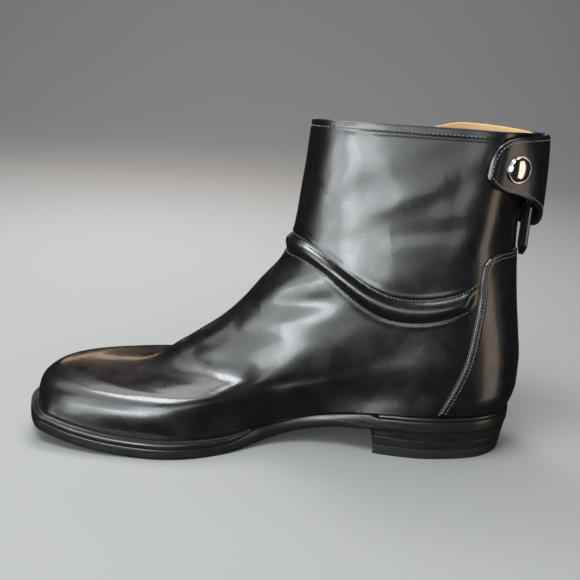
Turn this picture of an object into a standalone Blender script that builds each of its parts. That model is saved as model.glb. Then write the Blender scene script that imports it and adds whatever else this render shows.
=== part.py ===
"""Right leather ankle boot: stitched sole with a stacked heel, back zip and a snap strap.

Sizes are in millimetres and become metres when a mesh is made. The toe points to -X and the
heel to +X, the inner side of the foot is -Y, and the sole stands on Z = 0.
"""
import math

import bmesh
import bpy
import numpy as np

MM = 0.001

# driving sizes, in millimetres
LENGTH = 281.7           # outsole from the heel's back to the toe tip
BALL_WIDTH = 105.0       # outsole across the ball
WAIST_WIDTH = 64.0       # outsole across the arch
HEEL_WIDTH = 69.0        # outsole across the heel seat
HEEL_HEIGHT = 27.0       # floor to the top of the heel seat
TOE_SPRING = 10.6        # sole's underside above the floor at the toe tip
SOLE_EDGE = 9.2          # welt and outsole together
INSTEP_RISE = 80.0       # ridge above the welt where the shaft begins
COLLAR_HEIGHT = 184.5    # floor to the collar
COLLAR_LENGTH = 124.2    # collar from front to back
COLLAR_WIDTH = 50.0      # collar across
COLLAR_DIP = 5.0         # how far the outer side of the collar dips
COLLAR_ARCH = 1.7        # how far both sides of the collar rise between front and back

WALL = 2.0               # upper leather with its lining
GAP = 0.3                # clearance between pieces that touch
INSOLE_THICKNESS = 3.0
WELT_THICKNESS = 3.0
RAND_THICKNESS = 2.2
WELT_SHELF = 6.2         # welt showing beside the upper round the forefoot
TOE_SHELF = 4.0          # welt showing in front of the toe
RAND_SHELF = 2.4         # rand showing behind the heel
WAIST_SHELF = 0.8
SEAT_DEPTH = 2.6         # how far welt and rand reach in under the wall
RAND_END = 0.288         # station where the rand ends, as a share of the length
WELT_START = 0.548       # station where the welt begins

HEEL_LENGTH = 83.2       # heel's back to its breast
HEEL_TAPER = 2.6         # how far the heel's back draws in towards the floor
BREAST_HOLLOW = 3.0
TOP_LIFT_HEIGHT = 6.0
LIFT_HEIGHT = 5.0
FLAT_START = 0.600       # sole's flat spot under the ball, as shares of the length
FLAT_END = 0.735

COUNTER_THICKNESS = 1.3
COUNTER_TOP = 121.0      # height of the back panel's upper edge
ROLL_HEIGHT = 2.4        # how far the padded ankle roll stands off the leather
ZIP_FOOT = 58.0          # height where the back zip ends
ZIP_SLOT = 6.4
ZIP_WIDTH = 5.2
ZIP_THICKNESS = 1.3
STRAP_THICKNESS = 2.4
STRAP_STAND = 10.7       # free space behind the strap at the back of the shaft
SNAP_DIAMETER = 15.0
SNAP_DOME = 2.6
SNAP_FLANGE = 0.9
SNAP_ANGLE = -40.0       # degrees round the shaft from its back, inner side negative
SNAP_HEIGHT = 167.5
SLIDER_HEIGHT = 151.0    # middle of the zip's slider
SLIDER_LENGTH = 11.0
SLIDER_WIDTH = 7.4
SLIDER_THICKNESS = 1.2
PIN_RADIUS = 0.55        # hinge pin of the pull
EYE_RADIUS = 1.25
PULL_LENGTH = 29.0       # leather pull below its metal tongue
PULL_WIDTH = 12.0
PULL_THICKNESS = 2.6

AROUND = 64              # points round the sole and the upper

# outsole outline: station from the heel's back (share of LENGTH), size, inner and outer reach
OUTLINE = (
    (0.06, HEEL_WIDTH, 0.430, 0.368),
    (0.12, HEEL_WIDTH, 0.512, 0.440),
    (0.20, HEEL_WIDTH, 0.545, 0.476),
    (0.28, HEEL_WIDTH, 0.497, 0.507),
    (0.36, WAIST_WIDTH, 0.440, 0.590),
    (0.44, WAIST_WIDTH, 0.390, 0.640),
    (0.52, BALL_WIDTH, 0.288, 0.438),
    (0.60, BALL_WIDTH, 0.416, 0.478),
    (0.66, BALL_WIDTH, 0.484, 0.497),
    (0.72, BALL_WIDTH, 0.510, 0.498),
    (0.78, BALL_WIDTH, 0.502, 0.470),
    (0.84, BALL_WIDTH, 0.485, 0.416),
    (0.90, BALL_WIDTH, 0.452, 0.324),
    (0.95, BALL_WIDTH, 0.405, 0.200),
    (0.98, BALL_WIDTH, 0.345, 0.080),
)
HEEL_FULLNESS = 0.93     # roundness of the heel's back, share of HEEL_WIDTH
TOE_FULLNESS = 0.715     # roundness of the toe tip, share of BALL_WIDTH
TOE_SWING = -0.140       # toe tip towards the inner side, share of BALL_WIDTH
HEEL_SWING = -0.028      # heel's back, share of HEEL_WIDTH

# top of the sole along the foot: station (share of LENGTH), then three shares that are
# multiplied by HEEL_HEIGHT, SOLE_EDGE and TOE_SPRING and added up
SOLE_TOP = (
    (0.00, 1.000, 0.000, 0.00),
    (0.10, 0.978, 0.000, 0.00),
    (0.20, 0.956, 0.000, 0.00),
    (0.28, 0.915, 0.020, 0.00),
    (0.36, 0.705, 0.300, 0.00),
    (0.44, 0.425, 0.620, 0.00),
    (0.52, 0.150, 0.870, 0.00),
    (FLAT_START, 0.000, 1.000, 0.00),
    (0.66, 0.000, 1.000, 0.00),
    (FLAT_END, 0.000, 1.000, 0.00),
    (0.78, 0.000, 1.000, 0.04),
    (0.84, 0.000, 1.000, 0.17),
    (0.90, 0.000, 1.000, 0.40),
    (0.95, 0.000, 1.000, 0.66),
    (1.00, 0.000, 1.000, 1.00),
)

# ridge of the foot: station (share of LENGTH), rise above the sole's top (share of INSTEP_RISE)
RIDGE = (
    (0.984, 0.090),
    (0.978, 0.165),
    (0.957, 0.246),
    (0.919, 0.300),
    (0.872, 0.320),
    (0.830, 0.338),
    (0.780, 0.368),
    (0.748, 0.415),
    (0.706, 0.515),
    (0.666, 0.608),
    (0.625, 0.714),
    (0.585, 0.844),
    (0.545, 1.000),
)
# front of the shaft: height between instep and collar, reach from its back (share of COLLAR_LENGTH)
SHAFT_FRONT = (
    (0.165, 1.091),
    (0.263, 1.059),
    (0.375, 1.043),
    (0.583, 1.027),
    (0.785, 1.013),
    (1.000, 1.000),
)
# back of heel and shaft: height between seat and collar, inset from the sole's back (of LENGTH)
SHAFT_BACK = (
    (0.070, -0.0031),
    (0.134, -0.0039),
    (0.191, -0.0025),
    (0.270, 0.0046),
    (0.388, 0.0164),
    (0.546, 0.0287),
    (0.656, 0.0340),
    (0.815, 0.0320),
    (1.000, 0.0213),
)

# how full the upper is, ring by ring from the sole (0) to the collar (1)
RING_COLUMNS = (0.15, 0.35, 0.55, 0.75, 0.90)
FOOT_SIZES = (HEEL_WIDTH, HEEL_WIDTH, BALL_WIDTH, BALL_WIDTH, BALL_WIDTH)
# ring, fullness at heel, arch, instep, ball and toe, then the radii of back and front
FOOT_RINGS = (
    (0.05, 0.670, 0.484, 0.360, 0.515, 0.580, 0.420, 0.310),
    (0.10, 0.660, 0.486, 0.354, 0.490, 0.550, 0.406, 0.262),
    (0.15, 0.655, 0.490, 0.338, 0.450, 0.500, 0.390, 0.171),
    (0.20, 0.650, 0.493, 0.321, 0.412, 0.445, 0.377, 0.114),
    (0.30, 0.619, 0.486, 0.307, 0.341, 0.324, 0.348, 0.095),
)
# the same above the instep, as shares of COLLAR_WIDTH
SHAFT_RINGS = (
    (0.40, 0.812, 0.660, 0.624, 0.624, 0.620, 0.420, 0.220),
    (0.50, 0.756, 0.640, 0.604, 0.600, 0.600, 0.360, 0.220),
    (0.60, 0.720, 0.628, 0.592, 0.588, 0.594, 0.300, 0.260),
    (0.70, 0.690, 0.608, 0.572, 0.570, 0.584, 0.300, 0.300),
    (0.85, 0.660, 0.556, 0.532, 0.542, 0.580, 0.300, 0.320),
    (1.00, 0.640, 0.524, 0.502, 0.520, 0.574, 0.300, 0.320),
)
RING_ROWS = (0.0, 0.02, 0.05, 0.08, 0.115, 0.15, 0.19, 0.235, 0.285, 0.33, 0.375, 0.42, 0.46,
             0.50, 0.54, 0.58, 0.62, 0.655, 0.69, 0.72, 0.75, 0.78, 0.84, 0.92, 1.0)

# front edge of the back panel: height between seat and panel top, station (share of LENGTH)
COUNTER_EDGE = (
    (0.00, 0.173),
    (0.20, 0.144),
    (0.36, 0.128),
    (0.54, 0.120),
    (0.72, 0.115),
    (0.86, 0.116),
    (0.94, 0.110),
    (0.985, 0.093),
    (1.00, 0.078),
)
# padded roll round the ankle: station (share of LENGTH), lower and upper stitch row
# (heights as shares of COLLAR_HEIGHT)
ROLL = (
    (0.124, 0.490, 0.551),
    (0.153, 0.468, 0.529),
    (0.194, 0.447, 0.511),
    (0.239, 0.436, 0.501),
    (0.284, 0.440, 0.505),
    (0.325, 0.462, 0.525),
    (0.370, 0.505, 0.563),
    (0.415, 0.555, 0.606),
    (0.451, 0.584, 0.634),
)
ROLL_FRONT = (0.604, 0.654)   # both rows where the roll crosses the shaft's front
# strap: angle round the shaft (degrees, inner side negative), lower edge, upper edge
# (shares of COLLAR_HEIGHT), share of STRAP_STAND between strap and shaft at each edge
STRAP = (
    (-57.9, 0.888, 0.912, 0.08, 0.08),
    (-57.2, 0.878, 0.936, 0.08, 0.08),
    (-55.8, 0.869, 0.958, 0.085, 0.08),
    (-51.4, 0.852, 0.983, 0.10, 0.085),
    (-45.0, 0.839, 0.995, 0.15, 0.095),
    (-35.0, 0.828, 1.001, 0.36, 0.15),
    (-24.0, 0.808, 1.004, 0.66, 0.26),
    (-14.0, 0.782, 1.006, 0.90, 0.40),
    (-5.0, 0.745, 1.006, 1.00, 0.47),
    (3.0, 0.718, 1.006, 1.00, 0.47),
    (12.0, 0.713, 1.005, 0.92, 0.41),
    (24.0, 0.728, 1.003, 0.60, 0.26),
    (38.0, 0.758, 0.998, 0.22, 0.10),
    (50.0, 0.785, 0.988, 0.06, 0.04),
    (58.0, 0.800, 0.978, 0.04, 0.04),
)


def through(knots, values, at):
    """Smooth curve through the knots, read at any number of places."""
    knots = np.asarray(knots, float)
    values = np.asarray(values, float)
    at = np.asarray(at, float)
    slopes = np.gradient(values, knots)
    i = np.clip(np.searchsorted(knots, at) - 1, 0, len(knots) - 2)
    step = knots[i + 1] - knots[i]
    t = (at - knots[i]) / step
    rise = t * t * (3 - 2 * t)
    return (values[i] * (1 - rise) + values[i + 1] * rise
            + slopes[i] * step * t * (1 - t) ** 2 - slopes[i + 1] * step * t * t * (1 - t))


def ramp(at, start, end):
    """0 before start, 1 after end, eased between."""
    t = np.clip((np.asarray(at, float) - start) / (end - start), 0, 1)
    return t * t * (3 - 2 * t)


def share_along(angle):
    """Share of the way from back (angle 0) to front (angle pi)."""
    return (1 - np.cos(angle)) / 2


def outline_curves():
    """Knots of the sole's centre line and of its fullness either side."""
    stations = [0.0] + [row[0] for row in OUTLINE] + [1.0]
    centre = [HEEL_SWING * HEEL_WIDTH]
    full = [HEEL_FULLNESS * HEEL_WIDTH]
    for station, size, inner, outer in OUTLINE:
        centre.append(size * (outer - inner) / 2)
        full.append(size * (outer + inner) / 2 / (2 * math.sqrt(station * (1 - station))))
    centre.append(TOE_SWING * BALL_WIDTH)
    full.append(TOE_FULLNESS * BALL_WIDTH)
    return np.array(stations), np.array(centre), np.array(full)


OUT_STATION, OUT_CENTRE, OUT_FULL = outline_curves()


def shelf(share):
    """Width of the sole showing beside the upper."""
    knots = (0.0, 0.16, 0.32, 0.46, 0.58, 0.70, 0.85, 1.0)
    widths = (RAND_SHELF, RAND_SHELF, WAIST_SHELF, WAIST_SHELF, 0.7 * WELT_SHELF,
              WELT_SHELF, WELT_SHELF, TOE_SHELF)
    return through(knots, widths, share)


def outline(angle, inset):
    """Plan of the sole: station and side position, moved in by the inset."""
    share = share_along(angle)
    station = share * LENGTH + inset * np.cos(angle)
    full = through(OUT_STATION, OUT_FULL, share) - inset
    side = through(OUT_STATION, OUT_CENTRE, share) + np.sin(angle) * full
    return station, side


def sole_top(station):
    """Height of the sole's top, where the upper stands."""
    rows = np.array(SOLE_TOP)
    heights = rows[:, 1] * HEEL_HEIGHT + rows[:, 2] * SOLE_EDGE + rows[:, 3] * TOE_SPRING
    return through(rows[:, 0], heights, np.clip(np.asarray(station) / LENGTH, 0, 1))


def sole_bottom(station):
    """Height of the outsole's underside, flat on the floor under the ball."""
    share = np.asarray(station) / LENGTH
    height = sole_top(station) - SOLE_EDGE
    flat = (share > FLAT_START) & (share < FLAT_END)
    return np.where(flat, 0.0, np.maximum(height, 0.0))


def profile(points):
    """Curve through side-view points, as a function of the share of its length."""
    points = np.array(points)
    steps = np.linalg.norm(np.diff(points, axis=0), axis=1)
    along = np.concatenate(([0.0], np.cumsum(steps)))
    along /= along[-1]
    return along, points


def front_points():
    """Side-view points of toe, ridge and shaft front."""
    toe = LENGTH - TOE_SHELF
    points = [(toe, float(sole_top(toe)))]
    for station, rise in RIDGE:
        at = station * LENGTH
        points.append((at, float(sole_top(at)) + rise * INSTEP_RISE))
    base = points[-1][1]
    back = SHAFT_BACK[-1][1] * LENGTH
    for height, reach in SHAFT_FRONT:
        points.append((back + reach * COLLAR_LENGTH, base + height * (COLLAR_HEIGHT - base)))
    return points


def back_points():
    """Side-view points of the heel's back and the shaft's back."""
    span = COLLAR_HEIGHT - HEEL_HEIGHT
    rows = [(inset * LENGTH, HEEL_HEIGHT + height * span) for height, inset in SHAFT_BACK]
    return [(RAND_SHELF, HEEL_HEIGHT)] + rows


FRONT_AT, FRONT = profile(front_points())
BACK_AT, BACK = profile(back_points())


def ends(ring):
    """Side-view position of the ring's back and front points."""
    back = np.stack([through(BACK_AT, BACK[:, k], ring) for k in (0, 1)], axis=-1)
    front = np.stack([through(FRONT_AT, FRONT[:, k], ring) for k in (0, 1)], axis=-1)
    return back, front


def ring_rows():
    """Ring shares with the fullness at the back, at each column and at the front."""
    rings = []
    rows = []
    for table, sizes in ((FOOT_RINGS, FOOT_SIZES), (SHAFT_RINGS, (COLLAR_WIDTH,) * 5)):
        for row in table:
            back, front = ends(row[0])
            half = (front[0] - back[0]) / 2
            full = [math.sqrt(row[6] * sizes[0] * half)]
            full += [share * size for share, size in zip(row[1:6], sizes)]
            full.append(math.sqrt(row[7] * sizes[4] * half))
            rings.append(row[0])
            rows.append(full)
    return rings, rows


RINGS, RING_FULL = ring_rows()


def fullness(share, ring):
    """Half-breadth of the upper before it is rounded off at back and front."""
    columns = (0.0,) + RING_COLUMNS + (1.0,)
    sole = through(OUT_STATION, OUT_FULL, share) - shelf(share)
    rows = np.stack([sole] + [through(columns, row, share) for row in RING_FULL])
    knots = np.array([0.0] + RINGS)
    slopes = np.gradient(rows, knots, axis=0)
    i = np.clip(np.searchsorted(knots, ring) - 1, 0, len(knots) - 2)
    step = knots[i + 1] - knots[i]
    t = (ring - knots[i]) / step
    rise = t * t * (3 - 2 * t)
    pick = np.arange(rows.shape[1])
    return (rows[i, pick] * (1 - rise) + rows[i + 1, pick] * rise
            + slopes[i, pick] * step * t * (1 - t) ** 2 - slopes[i + 1, pick] * step * t * t * (1 - t))


def upper_point(angle, ring):
    """Point of the upper's outer face; angle 0 is its back, pi its front, below 0 the inner side."""
    angle, ring = np.broadcast_arrays(np.asarray(angle, float), np.asarray(ring, float))
    shape = angle.shape
    angle = angle.ravel()
    ring = ring.ravel()
    share = share_along(angle)
    back, front = ends(ring)
    foot_back, foot_front = ends(np.zeros_like(ring))
    station = back[:, 0] + share * (front[:, 0] - back[:, 0])
    foot_line = foot_back[:, 0] + share * (foot_front[:, 0] - foot_back[:, 0])
    foot_station = share * LENGTH + shelf(share) * np.cos(angle)
    fade = np.clip(1 - ring, 0, 1)
    station = station + (foot_station - foot_line) * fade ** 6
    bow = sole_top(foot_station) - foot_back[:, 1] - share * (foot_front[:, 1] - foot_back[:, 1])
    dip = COLLAR_DIP * np.maximum(np.sin(angle), 0) * ramp(share, 0.27, 0.49)
    dip = (dip - COLLAR_ARCH * np.abs(np.sin(angle))) * ramp(ring, 0.75, 1)
    height = back[:, 1] + share * (front[:, 1] - back[:, 1]) + bow * fade ** 2 - dip
    centre = through(OUT_STATION, OUT_CENTRE, np.clip(station / LENGTH, 0, 1)) * fade ** 1.5
    side = centre + np.sin(angle) * fullness(share, ring)
    return np.stack([LENGTH / 2 - station, side, height], axis=-1).reshape(shape + (3,))


def upper_normal(angle, ring):
    """Outward direction of the upper's outer face."""
    step = 0.004
    ring = np.asarray(ring, float)
    around = upper_point(angle + step, ring) - upper_point(angle - step, ring)
    low = np.maximum(ring - step, 0)
    up = upper_point(angle, ring + step) - upper_point(angle, low)
    normal = np.cross(around, up)
    return normal / np.linalg.norm(normal, axis=-1, keepdims=True)


def on_upper(angle, ring, off):
    """Point at a distance from the upper's outer face."""
    off = np.asarray(off, float)[..., None]
    return upper_point(angle, ring) + upper_normal(angle, ring) * off


def ring_at(angle, height):
    """Ring share where the upper reaches a height, at each angle."""
    angle, height = np.broadcast_arrays(np.asarray(angle, float), np.asarray(height, float))
    low = np.zeros(angle.shape)
    high = np.full(angle.shape, 1.08)
    for _ in range(30):
        middle = (low + high) / 2
        under = upper_point(angle, middle)[..., 2] < height
        low = np.where(under, middle, low)
        high = np.where(under, high, middle)
    return (low + high) / 2


def find(station, height):
    """Angle on the inner side and ring share of a side-view position."""
    station, height = np.broadcast_arrays(np.asarray(station, float), np.asarray(height, float))
    ring = np.full(station.shape, 0.5)
    for _ in range(12):
        back, front = ends(ring)
        share = (station - back[..., 0]) / (front[..., 0] - back[..., 0])
        angle = np.arccos(1 - 2 * np.clip(share, 0, 1))
        ring = ring_at(angle, height)
    return -angle, ring


def material(name, colour, roughness, metallic=0.0):
    made = bpy.data.materials.new(name)
    made.use_nodes = True
    shader = made.node_tree.nodes["Principled BSDF"]
    shader.inputs["Base Color"].default_value = (*colour, 1.0)
    shader.inputs["Roughness"].default_value = roughness
    shader.inputs["Metallic"].default_value = metallic
    return made


def add_object(name, points, faces, finish, sharp=32.0):
    """Closed mesh object from points in millimetres."""
    mesh = bpy.data.meshes.new(name)
    mesh.from_pydata([tuple(MM * float(c) for c in p) for p in points], [], faces)
    shape = bmesh.new()
    shape.from_mesh(mesh)
    bmesh.ops.remove_doubles(shape, verts=shape.verts, dist=0.00002)
    bmesh.ops.recalc_face_normals(shape, faces=shape.faces)
    shape.to_mesh(mesh)
    shape.free()
    mesh.materials.append(finish)
    mesh.shade_smooth()
    mesh.set_sharp_from_angle(angle=math.radians(sharp))
    made = bpy.data.objects.new(name, mesh)
    bpy.context.collection.objects.link(made)
    return made


def bridge(first, second, count, closed):
    """Quads between two rows of points that start at these indices."""
    last = count if closed else count - 1
    return [(first + i, first + (i + 1) % count, second + (i + 1) % count, second + i)
            for i in range(last)]


def hoop(name, rings, finish):
    """Solid whose section runs once round through all the rings, like a tyre."""
    count = len(rings[0])
    faces = []
    for k in range(len(rings)):
        faces += bridge(k * count, ((k + 1) % len(rings)) * count, count, True)
    return add_object(name, np.concatenate(rings), faces, finish)


def slab(name, rings, finish):
    """Solid between its first and last ring, closed there by strips across the foot."""
    count = len(rings[0])
    faces = []
    for k in range(len(rings) - 1):
        faces += bridge(k * count, (k + 1) * count, count, True)
    for start in (0, (len(rings) - 1) * count):
        for i in range(count // 2):
            faces.append((start + i, start + i + 1, start + count - i - 1, start + (count - i) % count))
    faces = [tuple(dict.fromkeys(face)) for face in faces]
    return add_object(name, np.concatenate(rings), faces, finish)


def bar(name, sections, finish):
    """Solid through a row of closed sections, with both ends closed."""
    count = len(sections[0])
    faces = []
    for k in range(len(sections) - 1):
        faces += bridge(k * count, (k + 1) * count, count, True)
    last = (len(sections) - 1) * count
    faces += [tuple(range(count)), tuple(range(last, last + count))]
    return add_object(name, np.concatenate(sections), faces, finish)


def sheet(name, outer, inner, finish):
    """Solid between two grids of points, closed along its edges."""
    rows, columns = outer.shape[:2]
    side = rows * columns
    faces = []
    for r in range(rows - 1):
        faces += bridge(r * columns, (r + 1) * columns, columns, False)
        faces += bridge(side + r * columns, side + (r + 1) * columns, columns, False)
    border = [c for c in range(columns)]
    border += [r * columns + columns - 1 for r in range(1, rows)]
    border += [(rows - 1) * columns + c for c in range(columns - 2, -1, -1)]
    border += [r * columns for r in range(rows - 2, 0, -1)]
    for i, a in enumerate(border):
        b = border[(i + 1) % len(border)]
        faces.append((a, b, side + b, side + a))
    points = np.concatenate([outer.reshape(-1, 3), inner.reshape(-1, 3)])
    return add_object(name, points, faces, finish)


def plan_ring(angles, inset, height_of):
    """Ring of the sole's outline at an inset, with heights from its stations."""
    station, side = outline(angles, inset)
    return np.stack([LENGTH / 2 - station, side, height_of(station)], axis=-1)


def welt_share(share):
    """1 where the welt lies under the upper's edge, 0 along the polished waist."""
    return ramp(share, 0.535, 0.585)


def rand_share(share):
    """1 where the rand lies under the upper's edge."""
    return 1 - ramp(share, RAND_END + 0.001, RAND_END + 0.020)


def sole_angles():
    """Angles round the sole, with the rand's ends among them."""
    half = list(np.arange(AROUND // 2 + 1) * 2 * math.pi / AROUND) + [math.acos(1 - 2 * RAND_END)]
    half = np.sort(half)
    return np.concatenate([half, 2 * math.pi - half[-2:0:-1]])


def edge_step(share):
    """Depth of the step round the outsole's top that welt and rand fill."""
    return (0.4 + (WELT_THICKNESS + GAP - 0.4) * welt_share(share)
            + (RAND_THICKNESS + GAP - 0.4) * rand_share(share))


def waist_round(share):
    """1 along the waist, where the sole's edge is rounded off."""
    return ramp(share, 0.31, 0.38) * (1 - ramp(share, 0.50, 0.56))


def make_outsole(finish):
    angles = sole_angles()
    share = share_along(angles)
    waist = waist_round(share)
    # inset and height above the underside, square edge first, rounded waist second
    under = ((0.8, 0.0, 2.8, 0.0), (0.2, 0.7, 1.2, 1.1), (0.0, 2.0, 0.3, 2.8), (0.0, 4.4, 0.2, 5.4))
    rings = []
    for inset, up, waist_inset, waist_up in under:
        moved = inset + (waist_inset - inset) * waist
        lift = up + (waist_up - up) * waist
        ring = plan_ring(angles, moved, sole_bottom)
        ring[:, 2] += lift
        rings.append(ring)
    step = edge_step(share)
    seat = shelf(share) + WALL + SEAT_DEPTH + 2 * GAP
    for inset, drop in ((0.15 + 0.9 * waist, step + 0.3 * waist), (seat, step), (seat, 0.0)):
        ring = plan_ring(angles, inset, sole_top)
        ring[:, 2] -= drop
        rings.append(ring)
    return slab("outsole", rings, finish)


def edge_strip(name, angles, thickness, inset, finish):
    """Welt or rand: a strip on the outsole's step, under the upper's edge."""
    share = share_along(angles)
    depth = shelf(share) + WALL + SEAT_DEPTH
    bottom = edge_step(share) - GAP
    sections = []
    for angle, reach, low in zip(angles, depth, bottom):
        low = max(low, 0.25)
        high = min(thickness, low)
        section = []
        for move, drop in ((inset + 0.2, low), (inset, low - 0.3 * high), (inset, low - 0.75 * high),
                           (inset + 0.6, low - high), (reach, low - high), (reach, low)):
            ring = plan_ring(np.array([angle]), move, sole_top)[0]
            section.append(ring - np.array([0, 0, drop]))
        sections.append(np.array(section))
    return bar(name, sections, finish)


def make_welt(finish):
    angles = sole_angles()
    angles = angles[share_along(angles) > WELT_START]
    return edge_strip("welt", angles, WELT_THICKNESS, 0.3, finish)


def make_rand(finish):
    angles = sole_angles()
    angles = angles[share_along(angles) < RAND_END + 0.0001]
    angles = np.sort(np.where(angles > math.pi, angles - 2 * math.pi, angles))
    return edge_strip("heel_rand", angles, RAND_THICKNESS, 0.3, finish)


def heel_ring(height_of, inset):
    """Heel outline round its back, then across its hollow breast."""
    reach = math.acos(1 - 2 * HEEL_LENGTH / LENGTH)
    angles = np.linspace(-reach, reach, 29)
    station, side = outline(angles, 0.5 + inset * (0.25 + 0.75 * np.maximum(np.cos(angles), 0) ** 2))
    station = np.minimum(station, HEEL_LENGTH)
    station[0] = HEEL_LENGTH
    station[-1] = HEEL_LENGTH
    across = np.linspace(1, -1, 9)[1:-1]
    middle = (side[0] + side[-1]) / 2
    half = (side[-1] - side[0]) / 2
    station = np.concatenate([station, HEEL_LENGTH - BREAST_HOLLOW * (1 - across ** 2)])
    side = np.concatenate([side, middle + across * half])
    return np.stack([LENGTH / 2 - station, side, height_of(station)], axis=-1)


def heel_inset(height):
    """The heel draws in as it nears the floor."""
    return HEEL_TAPER * (1 - height / (HEEL_HEIGHT - SOLE_EDGE))


def make_lift(name, low, high, finish):
    """One layer of the heel; high is a height, or None for the sole's underside."""
    rings = []
    for edge, up in ((0.35, 0.0), (0.0, 0.3)):
        rings.append(heel_ring(lambda s: low + up + 0 * s, edge + heel_inset(low + up)))
    if high is None:
        rings.append(heel_ring(lambda s: sole_bottom(s) - GAP, heel_inset(HEEL_HEIGHT - SOLE_EDGE)))
    else:
        for edge, down in ((0.0, 0.3), (0.35, 0.0)):
            rings.append(heel_ring(lambda s: high - down + 0 * s, edge + heel_inset(high - down)))
    return bar(name, rings, finish)


def make_upper(finish):
    angles = np.arange(AROUND) * 2 * math.pi / AROUND
    outer = []
    inner = []
    for ring in RING_ROWS:
        outer.append(on_upper(angles, ring, 0.0 * angles))
    for ring in RING_ROWS[::2]:
        inner.append(on_upper(angles, ring, 0.0 * angles - WALL))
    inner[0][:, 2] = outer[0][:, 2]
    inner[-1][:, 2] = outer[-1][:, 2]
    outer[0][:, 2] += GAP
    inner[0][:, 2] += GAP
    return hoop("upper", outer + inner[::-1], finish)


def plan_inset(ring, inset):
    """Closed ring moved in, seen from above."""
    along = np.roll(ring, -1, axis=0) - np.roll(ring, 1, axis=0)
    inward = np.stack([-along[:, 1], along[:, 0], 0 * along[:, 0]], axis=-1)
    inward /= np.linalg.norm(inward, axis=1, keepdims=True)
    centre = ring.mean(axis=0)
    if np.sum(inward * (centre - ring)) < 0:
        inward = -inward
    return ring + inward * inset


def make_insole(finish):
    angles = np.arange(AROUND) * 2 * math.pi / AROUND
    wall = upper_point(angles, 0.0)
    rings = []
    for inset, up in ((0.6, 0.0), (0.0, 0.5), (0.3, INSOLE_THICKNESS)):
        ring = plan_inset(wall, WALL + 1.3 + inset)
        ring[:, 2] = sole_top(LENGTH / 2 - ring[:, 0]) + GAP + up
        rings.append(ring)
    return slab("insole", rings, finish)


def counter_height(share):
    return HEEL_HEIGHT + 1.0 + share * (COUNTER_TOP - HEEL_HEIGHT - 1.0)


def make_counter(finish):
    """Back panel round the heel and up both sides of the zip."""
    edge = np.array(COUNTER_EDGE)
    rows = np.concatenate([np.linspace(0, 0.8, 10), (0.87, 0.92, 0.95, 0.975, 0.99, 1.0)])
    columns = np.linspace(-1, 1, 25)
    outer = []
    inner = []
    for row in rows:
        height = counter_height(row)
        station = through(edge[:, 0], edge[:, 1], row) * LENGTH
        reach, _ = find(np.array([station]), np.array([height]))
        angles = columns * abs(reach[0])
        rings = ring_at(angles, height)
        outer.append(on_upper(angles, rings, 0 * angles + GAP + COUNTER_THICKNESS))
        inner.append(on_upper(angles, rings, 0 * angles + GAP))
    panel = sheet("back_counter", np.array(outer), np.array(inner), finish)
    return combine(panel, zip_slot_guide(finish), "DIFFERENCE")


def zip_slot_guide(finish):
    """Block along the middle of the back that opens the panel for the zip."""
    sections = []
    for height in np.linspace(ZIP_FOOT, COUNTER_TOP + 12, 9):
        x, y, _ = upper_point(0.0, ring_at(0.0, height))
        near, far, half = x - 4, x + 6, ZIP_SLOT / 2
        sections.append(np.array([(near, y - half, height), (far, y - half, height),
                                  (far, y + half, height), (near, y + half, height)]))
    return bar("zip_slot", sections, finish)


def combine(target, other, operation):
    """Boolean that is worked out when the part is read; the other object only guides it."""
    made = target.modifiers.new(operation.lower(), "BOOLEAN")
    made.operation = operation
    made.object = other
    other.hide_render = True
    other.display_type = "WIRE"
    return target


def roll_rows(angles):
    """Ring shares of the roll's lower and upper stitch row, the same on both sides."""
    rows = np.array(ROLL)
    found = []
    for column, front in ((1, ROLL_FRONT[0]), (2, ROLL_FRONT[1])):
        knots, rings = find(rows[:, 0] * LENGTH, rows[:, column] * COLLAR_HEIGHT)
        knots = np.append(-knots, math.pi)
        rings = np.append(rings, ring_at(math.pi, front * COLLAR_HEIGHT))
        found.append(through(knots, rings, np.abs(angles)))
    return found


def make_roll(finish):
    """Padded roll from panel edge to panel edge over the shaft's front."""
    edge, _ = find(ROLL[0][0] * LENGTH, (ROLL[0][1] + ROLL[0][2]) / 2 * COLLAR_HEIGHT)
    step = 2 * math.pi / AROUND
    first = math.ceil(-float(edge) / step + 0.3) * step
    half = np.concatenate([[-float(edge)], np.arange(first, math.pi - step / 2, step)])
    angles = np.concatenate([half, [math.pi], 2 * math.pi - half[::-1]])
    folded = np.where(angles > math.pi, angles - 2 * math.pi, angles)
    low, high = roll_rows(folded)
    across = np.linspace(0, 1, 6)
    bump = GAP + 0.5 + (ROLL_HEIGHT - 0.5) * np.sin(math.pi * across) ** 0.8
    sections = []
    for angle, first_ring, last_ring in zip(angles, low, high):
        rings = first_ring + (last_ring - first_ring) * across
        outer = on_upper(angle, rings, bump)
        inner = on_upper(angle, rings, 0 * across + GAP)
        sections.append(np.concatenate([outer, inner[::-1]]))
    return bar("ankle_roll", sections, finish)


def strap_place(angle):
    """Lower edge, upper edge and distances from the shaft there, at an angle in degrees."""
    rows = np.array(STRAP)
    low, high, low_stand, high_stand = [through(rows[:, 0], rows[:, k], angle) for k in (1, 2, 3, 4)]
    return low * COLLAR_HEIGHT, high * COLLAR_HEIGHT, low_stand * STRAP_STAND, high_stand * STRAP_STAND


def strap_stand(angle, height):
    """Free space behind the strap at an angle in degrees and a height."""
    low, high, low_stand, high_stand = strap_place(angle)
    share = np.clip((height - low) / (high - low), 0, 1)
    return low_stand + (high_stand - low_stand) * share ** 2


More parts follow.
